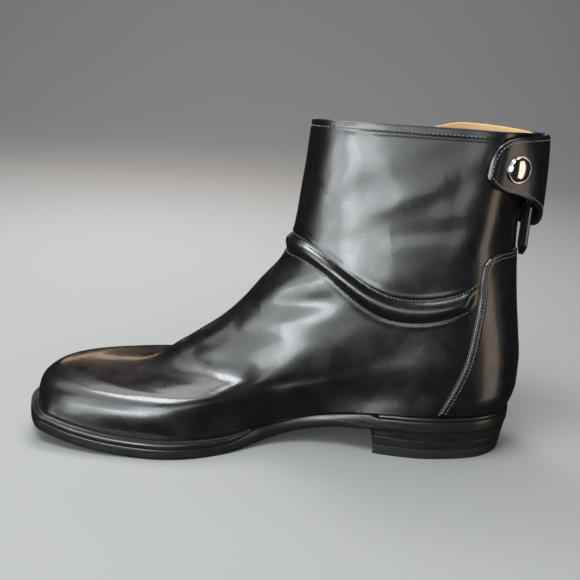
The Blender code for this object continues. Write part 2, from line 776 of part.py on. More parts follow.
def make_strap(finish):
    first, last = STRAP[0][0], STRAP[-1][0]
    degrees = np.concatenate([first + np.array((0.0, 0.5, 1.5)), np.linspace(first + 3.3, last, 30)])
    outer = []
    inner = []
    across = np.linspace(0, 1, 7)
    for degree in degrees:
        low, high = strap_place(degree)[:2]
        heights = low + (high - low) * across
        angle = math.radians(degree)
        rings = ring_at(angle, heights)
        stand = strap_stand(degree, heights)
        outer.append(on_upper(angle, rings, GAP + stand + STRAP_THICKNESS))
        inner.append(on_upper(angle, rings, GAP + stand))
    return sheet("closing_strap", np.array(outer), np.array(inner), finish)


def strap_face(degree, height, off):
    """Point at a distance from the strap's outer face."""
    angle = np.radians(degree)
    return on_upper(angle, ring_at(angle, height), GAP + strap_stand(degree, height) + STRAP_THICKNESS + off)


def disc(radius, sides):
    """Points of a circle in its own plane."""
    angles = np.arange(sides) * 2 * math.pi / sides
    return radius * np.cos(angles), radius * np.sin(angles)


def snap_seat():
    """Middle of the snap on the strap, the plane it lies in, and the strap's slope there."""
    middle = strap_face(SNAP_ANGLE, SNAP_HEIGHT, 0.0)
    around = strap_face(SNAP_ANGLE + 0.5, SNAP_HEIGHT, 0.0) - strap_face(SNAP_ANGLE - 0.5, SNAP_HEIGHT, 0.0)
    up = strap_face(SNAP_ANGLE, SNAP_HEIGHT + 0.5, 0.0) - strap_face(SNAP_ANGLE, SNAP_HEIGHT - 0.5, 0.0)
    out = np.cross(around, up)
    out /= np.linalg.norm(out)
    return middle, around, np.cross(out, around / np.linalg.norm(around)), out


def snap_depth(reach, sides, off, from_shaft=False):
    """Distance of a face from the snap's plane round a circle; off is measured from the strap's
    outer face, or from the shaft."""
    u, v = disc(reach, sides)
    middle, around, up, out = snap_seat()
    degree = SNAP_ANGLE + u / np.linalg.norm(around)
    height = SNAP_HEIGHT + v * up[2]
    if from_shaft:
        off = off - strap_stand(degree, height) - STRAP_THICKNESS - GAP
    return (strap_face(degree, height, off) - middle) @ out


def snap_ring(reach, sides, depth):
    """Circle round the snap's middle, at one distance from its plane or at one for each point."""
    u, v = disc(reach, sides)
    middle, around, up, out = snap_seat()
    side = around / np.linalg.norm(around)
    return middle + u[:, None] * side + v[:, None] * up + (depth + 0 * u)[:, None] * out


def make_snap(finish):
    """Domed cap on the strap and the stud between strap and shaft."""
    radius = SNAP_DIAMETER / 2
    sections = [snap_ring(reach, 24, snap_depth(reach, 24, 0.0) + GAP)
                for reach in (0.3 * radius, 0.7 * radius, radius)]
    flange = GAP + SNAP_FLANGE
    sections.append(snap_ring(radius, 24, flange))
    for tilt in (15, 35, 55, 75):
        turn = math.radians(tilt)
        sections.append(snap_ring(radius * (0.12 + 0.85 * math.cos(turn)) - 0.1, 24,
                                  flange + (SNAP_DOME - SNAP_FLANGE) * math.sin(turn)))
    cap = bar("snap_cap", sections, finish)
    reach = 0.45 * radius
    low = np.max(snap_depth(reach, 16, 0.0, True)) + GAP
    low = max(low, float(np.max(snap_depth(0.1, 16, 0.0, True))) + GAP)
    high = np.min(snap_depth(reach, 16, -STRAP_THICKNESS)) - GAP
    stud = bar("snap_stud", [snap_ring(reach, 16, low), snap_ring(reach, 16, high)], finish)
    return cap, stud


def make_zip(finish):
    """Closed zip chain up the middle of the back."""
    heights = np.linspace(ZIP_FOOT + 1.0, COLLAR_HEIGHT - 3.0, 19)
    across = np.array([-1.0, -0.45, 0.0, 0.45, 1.0])
    crown = np.array([0.0, 0.1, 0.5, 0.1, 0.0])
    sections = []
    for height in heights:
        ring = float(ring_at(0.0, height))
        half = float(fullness(np.zeros(1), np.array([ring]))[0])
        angles = across * ZIP_WIDTH / 2 / half
        rings = ring_at(angles, height)
        outer = on_upper(angles, rings, GAP + ZIP_THICKNESS + crown)
        inner = on_upper(angles, rings, 0 * across + GAP)
        sections.append(np.concatenate([outer, inner[::-1]]))
    return bar("zip_chain", sections, finish)


def zip_face():
    """X of the zip chain's outermost line behind the slider."""
    near = [upper_point(0.0, ring_at(0.0, SLIDER_HEIGHT + side * SLIDER_LENGTH / 2))[0]
            for side in (-1, 1)]
    return float(max(near)) + GAP + ZIP_THICKNESS + 0.5 + GAP


def pull_axis():
    """X and Z of the pin that the pull swings on."""
    return zip_face() + SLIDER_THICKNESS + GAP + EYE_RADIUS, SLIDER_HEIGHT - SLIDER_LENGTH / 2 + 2.0


def block(name, low, high, finish):
    """Box between two corners, with its edges softened."""
    sections = []
    for z, soft in ((low[2], 0.3), (low[2] + 0.3, 0.0), (high[2] - 0.3, 0.0), (high[2], 0.3)):
        sections.append(np.array([(low[0] + soft, low[1] + soft, z), (high[0] - soft, low[1] + soft, z),
                                  (high[0] - soft, high[1] - soft, z), (low[0] + soft, high[1] - soft, z)]))
    return bar(name, sections, finish)


def rod(name, centre, radius, half, finish, sides=16):
    """Cylinder along Y."""
    rows = [(radius, -half), (radius, half)]
    angles = np.arange(sides) * 2 * math.pi / sides
    sections = []
    for reach, along in rows:
        sections.append(np.stack([centre[0] + reach * np.cos(angles), 0 * angles + along,
                                  centre[1] + reach * np.sin(angles)], axis=-1))
    return bar(name, sections, finish)


def make_slider(finish):
    """Slider with two ears and the pin between them."""
    face = zip_face()
    axis = pull_axis()
    middle = SLIDER_WIDTH / 2
    slider = block("zip_slider", (face, -middle, SLIDER_HEIGHT - SLIDER_LENGTH / 2),
                   (face + SLIDER_THICKNESS, middle, SLIDER_HEIGHT + SLIDER_LENGTH / 2), finish)
    ear = EYE_RADIUS - 0.2
    for side in (-1, 1):
        low = min(side * (middle - 1.0), side * middle)
        guide = block("ear_guide", (face + SLIDER_THICKNESS / 2, low, axis[1] - ear),
                      (axis[0] + ear, low + 1.0, axis[1] + ear), finish)
        combine(slider, guide, "UNION")
    combine(slider, rod("pin_guide", axis, PIN_RADIUS, middle - 0.5, finish), "UNION")
    return slider


def make_pull(metal, leather):
    """Metal tongue on the slider's pin and the leather pull sewn over it."""
    axis = pull_axis()
    wide = SLIDER_WIDTH / 2 - 1.0 - GAP
    tongue = rod("pull_tongue", (0, 0), EYE_RADIUS, wide, metal)
    plate = block("plate_guide", (-0.5, -wide + 0.2, -8.0), (0.5, wide - 0.2, -0.6), metal)
    combine(tongue, plate, "UNION")
    combine(tongue, rod("bore_guide", (0, 0), PIN_RADIUS + GAP, wide + 2, metal), "DIFFERENCE")
    top = -EYE_RADIUS - 1.4
    half = PULL_WIDTH / 2
    # height below the pin, half width, half thickness
    rows = ((top, 0.80, 0.8), (top - 0.5, 0.88, 1.0), (top - 0.30 * PULL_LENGTH, 0.92, 1.0),
            (top - 0.80 * PULL_LENGTH, 1.0, 1.0), (top - 0.93 * PULL_LENGTH, 0.55, 1.0),
            (top - PULL_LENGTH, 0.12, 0.8))
    sections = []
    for z, wide_share, thick_share in rows:
        w = half * wide_share
        d = PULL_THICKNESS / 2 * thick_share
        c = min(0.4, w / 3)
        sections.append(np.array([(-d, -w + c, z), (-d + c, -w, z), (d - c, -w, z), (d, -w + c, z),
                                  (d, w - c, z), (d - c, w, z), (-d + c, w, z), (-d, w - c, z)]))
    tab = bar("pull_tab", sections, leather)
    slot = wide - 0.2 + GAP
    combine(tab, block("slot_guide", (-0.5 - GAP, -slot, -8.0 - GAP), (0.5 + GAP, slot, 2.0), leather),
            "DIFFERENCE")
    hinge = bpy.data.objects.new("pull_hinge", None)
    bpy.context.collection.objects.link(hinge)
    hinge.location = (MM * axis[0], 0, MM * axis[1])
    for piece in [tongue, tab] + [cut.object for made in (tongue, tab) for cut in made.modifiers]:
        piece.parent = hinge
    return hinge


def centre_on_origin():
    """Stands the boot over the world's origin, by the box round its pieces."""
    bpy.context.view_layer.update()
    pieces = [piece for piece in bpy.data.objects if piece.type == "MESH" and not piece.hide_render]
    graph = bpy.context.evaluated_depsgraph_get()
    corners = []
    for piece in pieces:
        shape = piece.evaluated_get(graph)
        corners += [tuple(shape.matrix_world @ v.co) for v in shape.data.vertices]
    corners = np.array(corners)
    middle = (corners.min(axis=0) + corners.max(axis=0)) / 2
    for piece in bpy.data.objects:
        if piece.parent is None:
            piece.location.x -= middle[0]
            piece.location.y -= middle[1]


def main():
    for old in list(bpy.data.objects):
        bpy.data.objects.remove(old, do_unlink=True)
    calf = material("black_calf", (0.012, 0.012, 0.013), 0.28)
    sole = material("sole_edge", (0.016, 0.015, 0.015), 0.4)
    rubber = material("top_lift_rubber", (0.02, 0.02, 0.02), 0.6)
    lining = material("tan_lining", (0.72, 0.5, 0.25), 0.6)
    steel = material("polished_steel", (0.75, 0.75, 0.76), 0.15, 1.0)
    dark = material("zip_metal", (0.08, 0.08, 0.085), 0.35, 1.0)
    make_outsole(sole)
    make_welt(sole)
    make_rand(sole)
    make_lift("top_lift", 0.0, TOP_LIFT_HEIGHT, rubber)
    make_lift("heel_lift_lower", TOP_LIFT_HEIGHT + GAP, TOP_LIFT_HEIGHT + GAP + LIFT_HEIGHT, sole)
    make_lift("heel_lift_upper", TOP_LIFT_HEIGHT + 2 * GAP + LIFT_HEIGHT, None, sole)
    make_upper(calf)
    make_insole(lining)
    make_counter(calf)
    make_roll(calf)
    make_strap(calf)
    make_snap(steel)
    make_zip(dark)
    make_slider(dark)
    make_pull(dark, calf)
    centre_on_origin()


main()
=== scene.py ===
"""Looks of the leather ankle boot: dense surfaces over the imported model, seams, finishes and studio.

The surface functions work in millimetres with the toe to -X, as in the part's source, and every
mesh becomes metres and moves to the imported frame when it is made.
"""
import math

import bmesh
import bpy
import numpy as np
from mathutils import Matrix, Vector


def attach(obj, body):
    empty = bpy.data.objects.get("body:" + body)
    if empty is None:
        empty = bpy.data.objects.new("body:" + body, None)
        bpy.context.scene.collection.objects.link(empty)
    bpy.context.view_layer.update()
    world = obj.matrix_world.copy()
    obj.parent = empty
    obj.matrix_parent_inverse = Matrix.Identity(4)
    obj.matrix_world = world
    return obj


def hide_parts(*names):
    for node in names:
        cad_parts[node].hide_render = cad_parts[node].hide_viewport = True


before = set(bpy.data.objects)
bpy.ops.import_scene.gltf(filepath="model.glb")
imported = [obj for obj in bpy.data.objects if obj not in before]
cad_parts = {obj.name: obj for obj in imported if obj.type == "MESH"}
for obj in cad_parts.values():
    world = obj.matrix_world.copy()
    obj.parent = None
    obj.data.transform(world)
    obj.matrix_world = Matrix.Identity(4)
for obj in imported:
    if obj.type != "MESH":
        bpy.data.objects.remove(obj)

MM = 0.001

# driving sizes, in millimetres
LENGTH = 281.7           # outsole from the heel's back to the toe tip
BALL_WIDTH = 105.0       # outsole across the ball
WAIST_WIDTH = 64.0       # outsole across the arch
HEEL_WIDTH = 69.0        # outsole across the heel seat
HEEL_HEIGHT = 27.0       # floor to the top of the heel seat
TOE_SPRING = 10.6        # sole's underside above the floor at the toe tip
SOLE_EDGE = 9.2          # welt and outsole together
INSTEP_RISE = 80.0       # ridge above the welt where the shaft begins
COLLAR_HEIGHT = 184.5    # floor to the collar
COLLAR_LENGTH = 124.2    # collar from front to back
COLLAR_WIDTH = 50.0      # collar across
COLLAR_DIP = 5.0         # how far the outer side of the collar dips
COLLAR_ARCH = 1.7        # how far both sides of the collar rise between front and back

WALL = 2.0               # upper leather with its lining
GAP = 0.3                # clearance between pieces that touch
WELT_THICKNESS = 3.0     # strip under the forefoot's edge
RAND_THICKNESS = 2.2     # strip under the heel's edge
WELT_SHELF = 6.2         # welt showing beside the upper round the forefoot
TOE_SHELF = 4.0          # welt showing in front of the toe
RAND_SHELF = 2.4         # rand showing behind the heel
WAIST_SHELF = 0.8        # sole showing beside the upper along the waist
SEAT_DEPTH = 2.6         # how far welt and rand reach in under the wall
RAND_END = 0.288         # station where the rand ends, as a share of the length
WELT_START = 0.548       # station where the welt begins

HEEL_LENGTH = 83.2       # heel's back to its breast
HEEL_TAPER = 2.6         # how far the heel's back draws in towards the floor
BREAST_HOLLOW = 3.0      # how far the heel's breast curves in
TOP_LIFT_HEIGHT = 6.0    # rubber layer on the floor
LIFT_HEIGHT = 5.0
FLAT_START = 0.600       # sole's flat spot under the ball, as shares of the length
FLAT_END = 0.735

COUNTER_THICKNESS = 1.3  # overlaid back panel
COUNTER_TOP = 121.0      # height of the back panel's upper edge
ROLL_HEIGHT = 2.4        # how far the padded ankle roll stands off the leather
ZIP_FOOT = 58.0          # height where the back zip ends
ZIP_SLOT = 6.4           # slot in the back panel for the zip
ZIP_WIDTH = 5.2
ZIP_THICKNESS = 1.3
STRAP_THICKNESS = 2.4
STRAP_STAND = 10.7       # free space behind the strap at the back of the shaft
SNAP_DIAMETER = 15.0
SNAP_DOME = 2.6          # snap's height over the strap
SNAP_FLANGE = 0.9        # height of its rim
SNAP_ANGLE = -40.0       # degrees round the shaft from its back, inner side negative
SNAP_HEIGHT = 167.5
SLIDER_HEIGHT = 151.0    # middle of the zip's slider
SLIDER_LENGTH = 11.0
SLIDER_THICKNESS = 1.2   # slider's plate
EYE_RADIUS = 1.25        # eye of the pull's tongue
PULL_LENGTH = 29.0       # leather pull below its metal tongue
PULL_WIDTH = 12.0
PULL_THICKNESS = 2.6

AROUND = 288             # points round the sole
SKIN_AROUND = 360        # points round the upper

# outsole outline: station from the heel's back (share of LENGTH), size, inner and outer reach
OUTLINE = (
    (0.06, HEEL_WIDTH, 0.430, 0.368),
    (0.12, HEEL_WIDTH, 0.512, 0.440),
    (0.20, HEEL_WIDTH, 0.545, 0.476),
    (0.28, HEEL_WIDTH, 0.497, 0.507),
    (0.36, WAIST_WIDTH, 0.440, 0.590),
    (0.44, WAIST_WIDTH, 0.390, 0.640),
    (0.52, BALL_WIDTH, 0.288, 0.438),
    (0.60, BALL_WIDTH, 0.416, 0.478),
    (0.66, BALL_WIDTH, 0.484, 0.497),
    (0.72, BALL_WIDTH, 0.510, 0.498),
    (0.78, BALL_WIDTH, 0.502, 0.470),
    (0.84, BALL_WIDTH, 0.485, 0.416),
    (0.90, BALL_WIDTH, 0.452, 0.324),
    (0.95, BALL_WIDTH, 0.405, 0.200),
    (0.98, BALL_WIDTH, 0.345, 0.080),
)
HEEL_FULLNESS = 0.93     # roundness of the heel's back, share of HEEL_WIDTH
TOE_FULLNESS = 0.715     # roundness of the toe tip, share of BALL_WIDTH
TOE_SWING = -0.140       # toe tip towards the inner side, share of BALL_WIDTH
HEEL_SWING = -0.028      # heel's back, share of HEEL_WIDTH

# top of the sole along the foot: station (share of LENGTH), then three shares that are
# multiplied by HEEL_HEIGHT, SOLE_EDGE and TOE_SPRING and added up
SOLE_TOP = (
    (0.00, 1.000, 0.000, 0.00),
    (0.10, 0.978, 0.000, 0.00),
    (0.20, 0.956, 0.000, 0.00),
    (0.28, 0.915, 0.020, 0.00),
    (0.36, 0.705, 0.300, 0.00),
    (0.44, 0.425, 0.620, 0.00),
    (0.52, 0.150, 0.870, 0.00),
    (FLAT_START, 0.000, 1.000, 0.00),
    (0.66, 0.000, 1.000, 0.00),
    (FLAT_END, 0.000, 1.000, 0.00),
    (0.78, 0.000, 1.000, 0.04),
    (0.84, 0.000, 1.000, 0.17),
    (0.90, 0.000, 1.000, 0.40),
    (0.95, 0.000, 1.000, 0.66),
    (1.00, 0.000, 1.000, 1.00),
)

# ridge of the foot: station (share of LENGTH), rise above the sole's top (share of INSTEP_RISE)
RIDGE = (
    (0.984, 0.090),
    (0.978, 0.165),
    (0.957, 0.246),
    (0.919, 0.300),
    (0.872, 0.320),
    (0.830, 0.338),
    (0.780, 0.368),
    (0.748, 0.415),
    (0.706, 0.515),
    (0.666, 0.608),
    (0.625, 0.714),
    (0.585, 0.844),
    (0.545, 1.000),
)
# front of the shaft: height between instep and collar, reach from its back (share of COLLAR_LENGTH)
SHAFT_FRONT = (
    (0.165, 1.091),
    (0.263, 1.059),
    (0.375, 1.043),
    (0.583, 1.027),
    (0.785, 1.013),
    (1.000, 1.000),
)
# back of heel and shaft: height between seat and collar, inset from the sole's back (of LENGTH)
SHAFT_BACK = (
    (0.070, -0.0031),
    (0.134, -0.0039),
    (0.191, -0.0025),
    (0.270, 0.0046),
    (0.388, 0.0164),
    (0.546, 0.0287),
    (0.656, 0.0340),
    (0.815, 0.0320),
    (1.000, 0.0213),
)

# how full the upper is, ring by ring from the sole (0) to the collar (1)
RING_COLUMNS = (0.15, 0.35, 0.55, 0.75, 0.90)
FOOT_SIZES = (HEEL_WIDTH, HEEL_WIDTH, BALL_WIDTH, BALL_WIDTH, BALL_WIDTH)
# ring, fullness at heel, arch, instep, ball and toe, then the radii of back and front
FOOT_RINGS = (
    (0.05, 0.670, 0.484, 0.360, 0.515, 0.580, 0.420, 0.310),
    (0.10, 0.660, 0.486, 0.354, 0.490, 0.550, 0.406, 0.262),
    (0.15, 0.655, 0.490, 0.338, 0.450, 0.500, 0.390, 0.171),
    (0.20, 0.650, 0.493, 0.321, 0.412, 0.445, 0.377, 0.114),
    (0.30, 0.619, 0.486, 0.307, 0.341, 0.324, 0.348, 0.095),
)
# the same above the instep, as shares of COLLAR_WIDTH
SHAFT_RINGS = (
    (0.40, 0.812, 0.660, 0.624, 0.624, 0.620, 0.420, 0.220),
    (0.50, 0.756, 0.640, 0.604, 0.600, 0.600, 0.360, 0.220),
    (0.60, 0.720, 0.628, 0.592, 0.588, 0.594, 0.300, 0.260),
    (0.70, 0.690, 0.608, 0.572, 0.570, 0.584, 0.300, 0.300),
    (0.85, 0.660, 0.556, 0.532, 0.542, 0.580, 0.300, 0.320),
    (1.00, 0.640, 0.524, 0.502, 0.520, 0.574, 0.300, 0.320),
)
# front edge of the back panel: height between seat and panel top, station (share of LENGTH)
COUNTER_EDGE = (
    (0.00, 0.173),
    (0.20, 0.144),
    (0.36, 0.128),
    (0.54, 0.120),
    (0.72, 0.115),
    (0.86, 0.116),
    (0.94, 0.110),
    (0.985, 0.093),
    (1.00, 0.078),
)
# padded roll round the ankle: station (share of LENGTH), lower and upper stitch row
# (heights as shares of COLLAR_HEIGHT)
ROLL = (
    (0.124, 0.490, 0.551),
    (0.153, 0.468, 0.529),
    (0.194, 0.447, 0.511),
    (0.239, 0.436, 0.501),
    (0.284, 0.440, 0.505),
    (0.325, 0.462, 0.525),
    (0.370, 0.505, 0.563),
    (0.415, 0.555, 0.606),
    (0.451, 0.584, 0.634),
)
ROLL_FRONT = (0.604, 0.654)   # both rows where the roll crosses the shaft's front
# strap: angle round the shaft (degrees, inner side negative), lower edge, upper edge
# (shares of COLLAR_HEIGHT), share of STRAP_STAND between strap and shaft at each edge
STRAP = (
    (-57.9, 0.888, 0.912, 0.08, 0.08),
    (-57.2, 0.878, 0.936, 0.08, 0.08),
    (-55.8, 0.869, 0.958, 0.085, 0.08),
    (-51.4, 0.852, 0.983, 0.10, 0.085),
    (-45.0, 0.839, 0.995, 0.15, 0.095),
    (-35.0, 0.828, 1.001, 0.36, 0.15),
    (-24.0, 0.808, 1.004, 0.66, 0.26),
    (-14.0, 0.782, 1.006, 0.90, 0.40),
    (-5.0, 0.745, 1.006, 1.00, 0.47),
    (3.0, 0.718, 1.006, 1.00, 0.47),
    (12.0, 0.713, 1.005, 0.92, 0.41),
    (24.0, 0.728, 1.003, 0.60, 0.26),
    (38.0, 0.758, 0.998, 0.22, 0.10),
    (50.0, 0.785, 0.988, 0.06, 0.04),
    (58.0, 0.800, 0.978, 0.04, 0.04),
)

# walked-in creases in side view: station and height of both ends (shares of LENGTH and
# COLLAR_HEIGHT), height over the leather, half width, share of it on the outer side
CREASES = (
    (0.540, 0.425, 0.400, 0.480, -0.95, 6.0, 0.6),
    (0.530, 0.480, 0.415, 0.560, 0.60, 5.5, 0.7),
    (0.600, 0.350, 0.500, 0.360, -0.55, 5.5, 0.5),
    (0.330, 0.760, 0.200, 0.860, 0.35, 6.0, 0.5),
    (0.300, 0.690, 0.160, 0.730, -0.40, 6.0, 0.5),
    (0.430, 0.800, 0.360, 0.930, 0.30, 7.0, 0.5),
    (0.700, 0.300, 0.640, 0.240, -0.45, 5.0, 0.5),
    (0.230, 0.350, 0.160, 0.300, 0.30, 7.0, 0.5),
)

# camera of the photo: place in millimetres, yaw, pitch and roll in degrees, lens in millimetres
CAMERA_PLACE = (-13.78, -455.86, 221.14)
CAMERA_TURN = (2.12, 16.5, 4.0)
CAMERA_LENS = 50.59
SENSOR_WIDTH = 36

TOOTH_PITCH = 1.45       # zip teeth
WHEEL_PITCH = 3.0        # marks of the wheel along the welt
WHEEL_DEPTH = 0.14
SNAP_SIDES = 48

PLAIN = (1.0, 1.0, 1.0)
COOL = (0.93, 0.98, 1.0)
WARM = (1.0, 0.72, 0.5)
SOFT_WARM = (1.0, 0.82, 0.66)

# studio lamps: name, place, aim, size (metres), power (watts), colour
LAMPS = (
    ("key", (-0.75, -0.25, 1.10), (-0.05, 0, 0.08), (0.75, 0.65), 2.0, PLAIN),
    ("over_front", (-0.25, -0.28, 1.0), (0.0, 0, 0.10), (0.50, 0.32), 5.6, COOL),
    ("left_wall", (-0.85, -0.80, 0.32), (0, 0, 0.12), (0.42, 0.75), 1.6, COOL),
    ("tall_left", (-0.42, -0.60, 0.60), (0, 0, 0.40), (0.42, 1.1), 2.1, COOL),
    ("by_camera", (-0.30, -1.15, 0.40), (0.0, 0, 0.06), (0.34, 0.40), 2.4, COOL),
    ("middle_front", (0.10, -1.1, 0.25), (0.02, 0, 0.10), (0.50, 0.30), 0.8, COOL),
    ("low_front", (-0.28, -1.0, 0.10), (0, 0, 0.10), (0.55, 0.20), 1.9, COOL),
    ("floor_glow", (-0.42, -0.66, 0.03), (-0.02, 0, 0.14), (0.46, 0.24), 1.2, COOL),
    ("top", (0.1, 0.5, 1.9), (0, 0.2, 0), (1.6, 1.0), 15, PLAIN),
    ("back_card", (-0.15, 1.1, 0.42), (-0.09, 0, 0.06), (0.9, 0.16), 0.9, WARM),
    ("right_card", (0.95, -0.5, 0.12), (0.1, 0, 0.08), (0.35, 0.9), 1.3, SOFT_WARM),
)


def through(knots, values, at):
    """Smooth curve through the knots, read at any number of places."""
    knots = np.asarray(knots, float)
    values = np.asarray(values, float)
    at = np.asarray(at, float)
    slopes = np.gradient(values, knots)
    i = np.clip(np.searchsorted(knots, at) - 1, 0, len(knots) - 2)
    step = knots[i + 1] - knots[i]
    t = (at - knots[i]) / step
    rise = t * t * (3 - 2 * t)
    return (values[i] * (1 - rise) + values[i + 1] * rise
            + slopes[i] * step * t * (1 - t) ** 2 - slopes[i + 1] * step * t * t * (1 - t))


def ramp(at, start, end):
    """0 before start, 1 after end, eased between."""
    t = np.clip((np.asarray(at, float) - start) / (end - start), 0, 1)
    return t * t * (3 - 2 * t)


def share_along(angle):
    """Share of the way from back (angle 0) to front (angle pi)."""
    return (1 - np.cos(angle)) / 2


def outline_curves():
    """Knots of the sole's centre line and of its fullness either side."""
    stations = [0.0] + [row[0] for row in OUTLINE] + [1.0]
    centre = [HEEL_SWING * HEEL_WIDTH]
    full = [HEEL_FULLNESS * HEEL_WIDTH]
    for station, size, inner, outer in OUTLINE:
        centre.append(size * (outer - inner) / 2)
        full.append(size * (outer + inner) / 2 / (2 * math.sqrt(station * (1 - station))))
    centre.append(TOE_SWING * BALL_WIDTH)
    full.append(TOE_FULLNESS * BALL_WIDTH)
    return np.array(stations), np.array(centre), np.array(full)


OUT_STATION, OUT_CENTRE, OUT_FULL = outline_curves()


def shelf(share):
    """Width of the sole showing beside the upper."""
    knots = (0.0, 0.16, 0.32, 0.46, 0.58, 0.70, 0.85, 1.0)
    widths = (RAND_SHELF, RAND_SHELF, WAIST_SHELF, WAIST_SHELF, 0.7 * WELT_SHELF,
              WELT_SHELF, WELT_SHELF, TOE_SHELF)
    return through(knots, widths, share)


def outline(angle, inset):
    """Plan of the sole: station and side position, moved in by the inset."""
    share = share_along(angle)
    station = share * LENGTH + inset * np.cos(angle)
    full = through(OUT_STATION, OUT_FULL, share) - inset
    side = through(OUT_STATION, OUT_CENTRE, share) + np.sin(angle) * full
    return station, side


def sole_top(station):
    """Height of the sole's top, where the upper stands."""
    rows = np.array(SOLE_TOP)
    heights = rows[:, 1] * HEEL_HEIGHT + rows[:, 2] * SOLE_EDGE + rows[:, 3] * TOE_SPRING
    return through(rows[:, 0], heights, np.clip(np.asarray(station) / LENGTH, 0, 1))


def sole_bottom(station):
    """Height of the outsole's underside, flat on the floor under the ball."""
    share = np.asarray(station) / LENGTH
    height = sole_top(station) - SOLE_EDGE
    flat = (share > FLAT_START) & (share < FLAT_END)
    return np.where(flat, 0.0, np.maximum(height, 0.0))


def profile(points):
    """Curve through side-view points, as a function of the share of its length."""
    points = np.array(points)
    steps = np.linalg.norm(np.diff(points, axis=0), axis=1)
    along = np.concatenate(([0.0], np.cumsum(steps)))
    along /= along[-1]
    return along, points


def front_points():
    """Side-view points of toe, ridge and shaft front."""
    toe = LENGTH - TOE_SHELF
    points = [(toe, float(sole_top(toe)))]
    for station, rise in RIDGE:
        at = station * LENGTH
        points.append((at, float(sole_top(at)) + rise * INSTEP_RISE))
    base = points[-1][1]
    back = SHAFT_BACK[-1][1] * LENGTH
    for height, reach in SHAFT_FRONT:
        points.append((back + reach * COLLAR_LENGTH, base + height * (COLLAR_HEIGHT - base)))
    return points


def back_points():
    """Side-view points of the heel's back and the shaft's back."""
    span = COLLAR_HEIGHT - HEEL_HEIGHT
    rows = [(inset * LENGTH, HEEL_HEIGHT + height * span) for height, inset in SHAFT_BACK]
    return [(RAND_SHELF, HEEL_HEIGHT)] + rows


FRONT_AT, FRONT = profile(front_points())
BACK_AT, BACK = profile(back_points())


def ends(ring):
    """Side-view position of the ring's back and front points."""
    back = np.stack([through(BACK_AT, BACK[:, k], ring) for k in (0, 1)], axis=-1)
    front = np.stack([through(FRONT_AT, FRONT[:, k], ring) for k in (0, 1)], axis=-1)
    return back, front


def ring_rows():
    """Ring shares with the fullness at the back, at each column and at the front."""
    rings = []
    rows = []
    for table, sizes in ((FOOT_RINGS, FOOT_SIZES), (SHAFT_RINGS, (COLLAR_WIDTH,) * 5)):
        for row in table:
            back, front = ends(row[0])
            half = (front[0] - back[0]) / 2
            full = [math.sqrt(row[6] * sizes[0] * half)]
            full += [share * size for share, size in zip(row[1:6], sizes)]
            full.append(math.sqrt(row[7] * sizes[4] * half))
            rings.append(row[0])
            rows.append(full)
    return rings, rows


RINGS, RING_FULL = ring_rows()


def fullness(share, ring):
    """Half-breadth of the upper before it is rounded off at back and front."""
    columns = (0.0,) + RING_COLUMNS + (1.0,)
    sole = through(OUT_STATION, OUT_FULL, share) - shelf(share)
    rows = np.stack([sole] + [through(columns, row, share) for row in RING_FULL])
    knots = np.array([0.0] + RINGS)
    slopes = np.gradient(rows, knots, axis=0)
    i = np.clip(np.searchsorted(knots, ring) - 1, 0, len(knots) - 2)
    step = knots[i + 1] - knots[i]
    t = (ring - knots[i]) / step
    rise = t * t * (3 - 2 * t)
    pick = np.arange(rows.shape[1])
    return (rows[i, pick] * (1 - rise) + rows[i + 1, pick] * rise
            + slopes[i, pick] * step * t * (1 - t) ** 2 - slopes[i + 1, pick] * step * t * t * (1 - t))


def upper_point(angle, ring):
    """Point of the upper's outer face; angle 0 is its back, pi its front, below 0 the inner side."""
    angle, ring = np.broadcast_arrays(np.asarray(angle, float), np.asarray(ring, float))
    shape = angle.shape
    angle = angle.ravel()
    ring = ring.ravel()
    share = share_along(angle)
    back, front = ends(ring)
    foot_back, foot_front = ends(np.zeros_like(ring))
    station = back[:, 0] + share * (front[:, 0] - back[:, 0])
    foot_line = foot_back[:, 0] + share * (foot_front[:, 0] - foot_back[:, 0])
    foot_station = share * LENGTH + shelf(share) * np.cos(angle)
    fade = np.clip(1 - ring, 0, 1)
    station = station + (foot_station - foot_line) * fade ** 6
    bow = sole_top(foot_station) - foot_back[:, 1] - share * (foot_front[:, 1] - foot_back[:, 1])
    dip = COLLAR_DIP * np.maximum(np.sin(angle), 0) * ramp(share, 0.27, 0.49)
    dip = (dip - COLLAR_ARCH * np.abs(np.sin(angle))) * ramp(ring, 0.75, 1)
    height = back[:, 1] + share * (front[:, 1] - back[:, 1]) + bow * fade ** 2 - dip
    centre = through(OUT_STATION, OUT_CENTRE, np.clip(station / LENGTH, 0, 1)) * fade ** 1.5
    side = centre + np.sin(angle) * fullness(share, ring)
    return np.stack([LENGTH / 2 - station, side, height], axis=-1).reshape(shape + (3,))


def upper_normal(angle, ring):
    """Outward direction of the upper's outer face."""
    step = 0.004
    ring = np.asarray(ring, float)
    around = upper_point(angle + step, ring) - upper_point(angle - step, ring)
    low = np.maximum(ring - step, 0)
    up = upper_point(angle, ring + step) - upper_point(angle, low)
    normal = np.cross(around, up)
    return normal / np.linalg.norm(normal, axis=-1, keepdims=True)


def on_upper(angle, ring, off):
    """Point at a distance from the upper's outer face."""
    off = np.asarray(off, float)[..., None]
    return upper_point(angle, ring) + upper_normal(angle, ring) * off


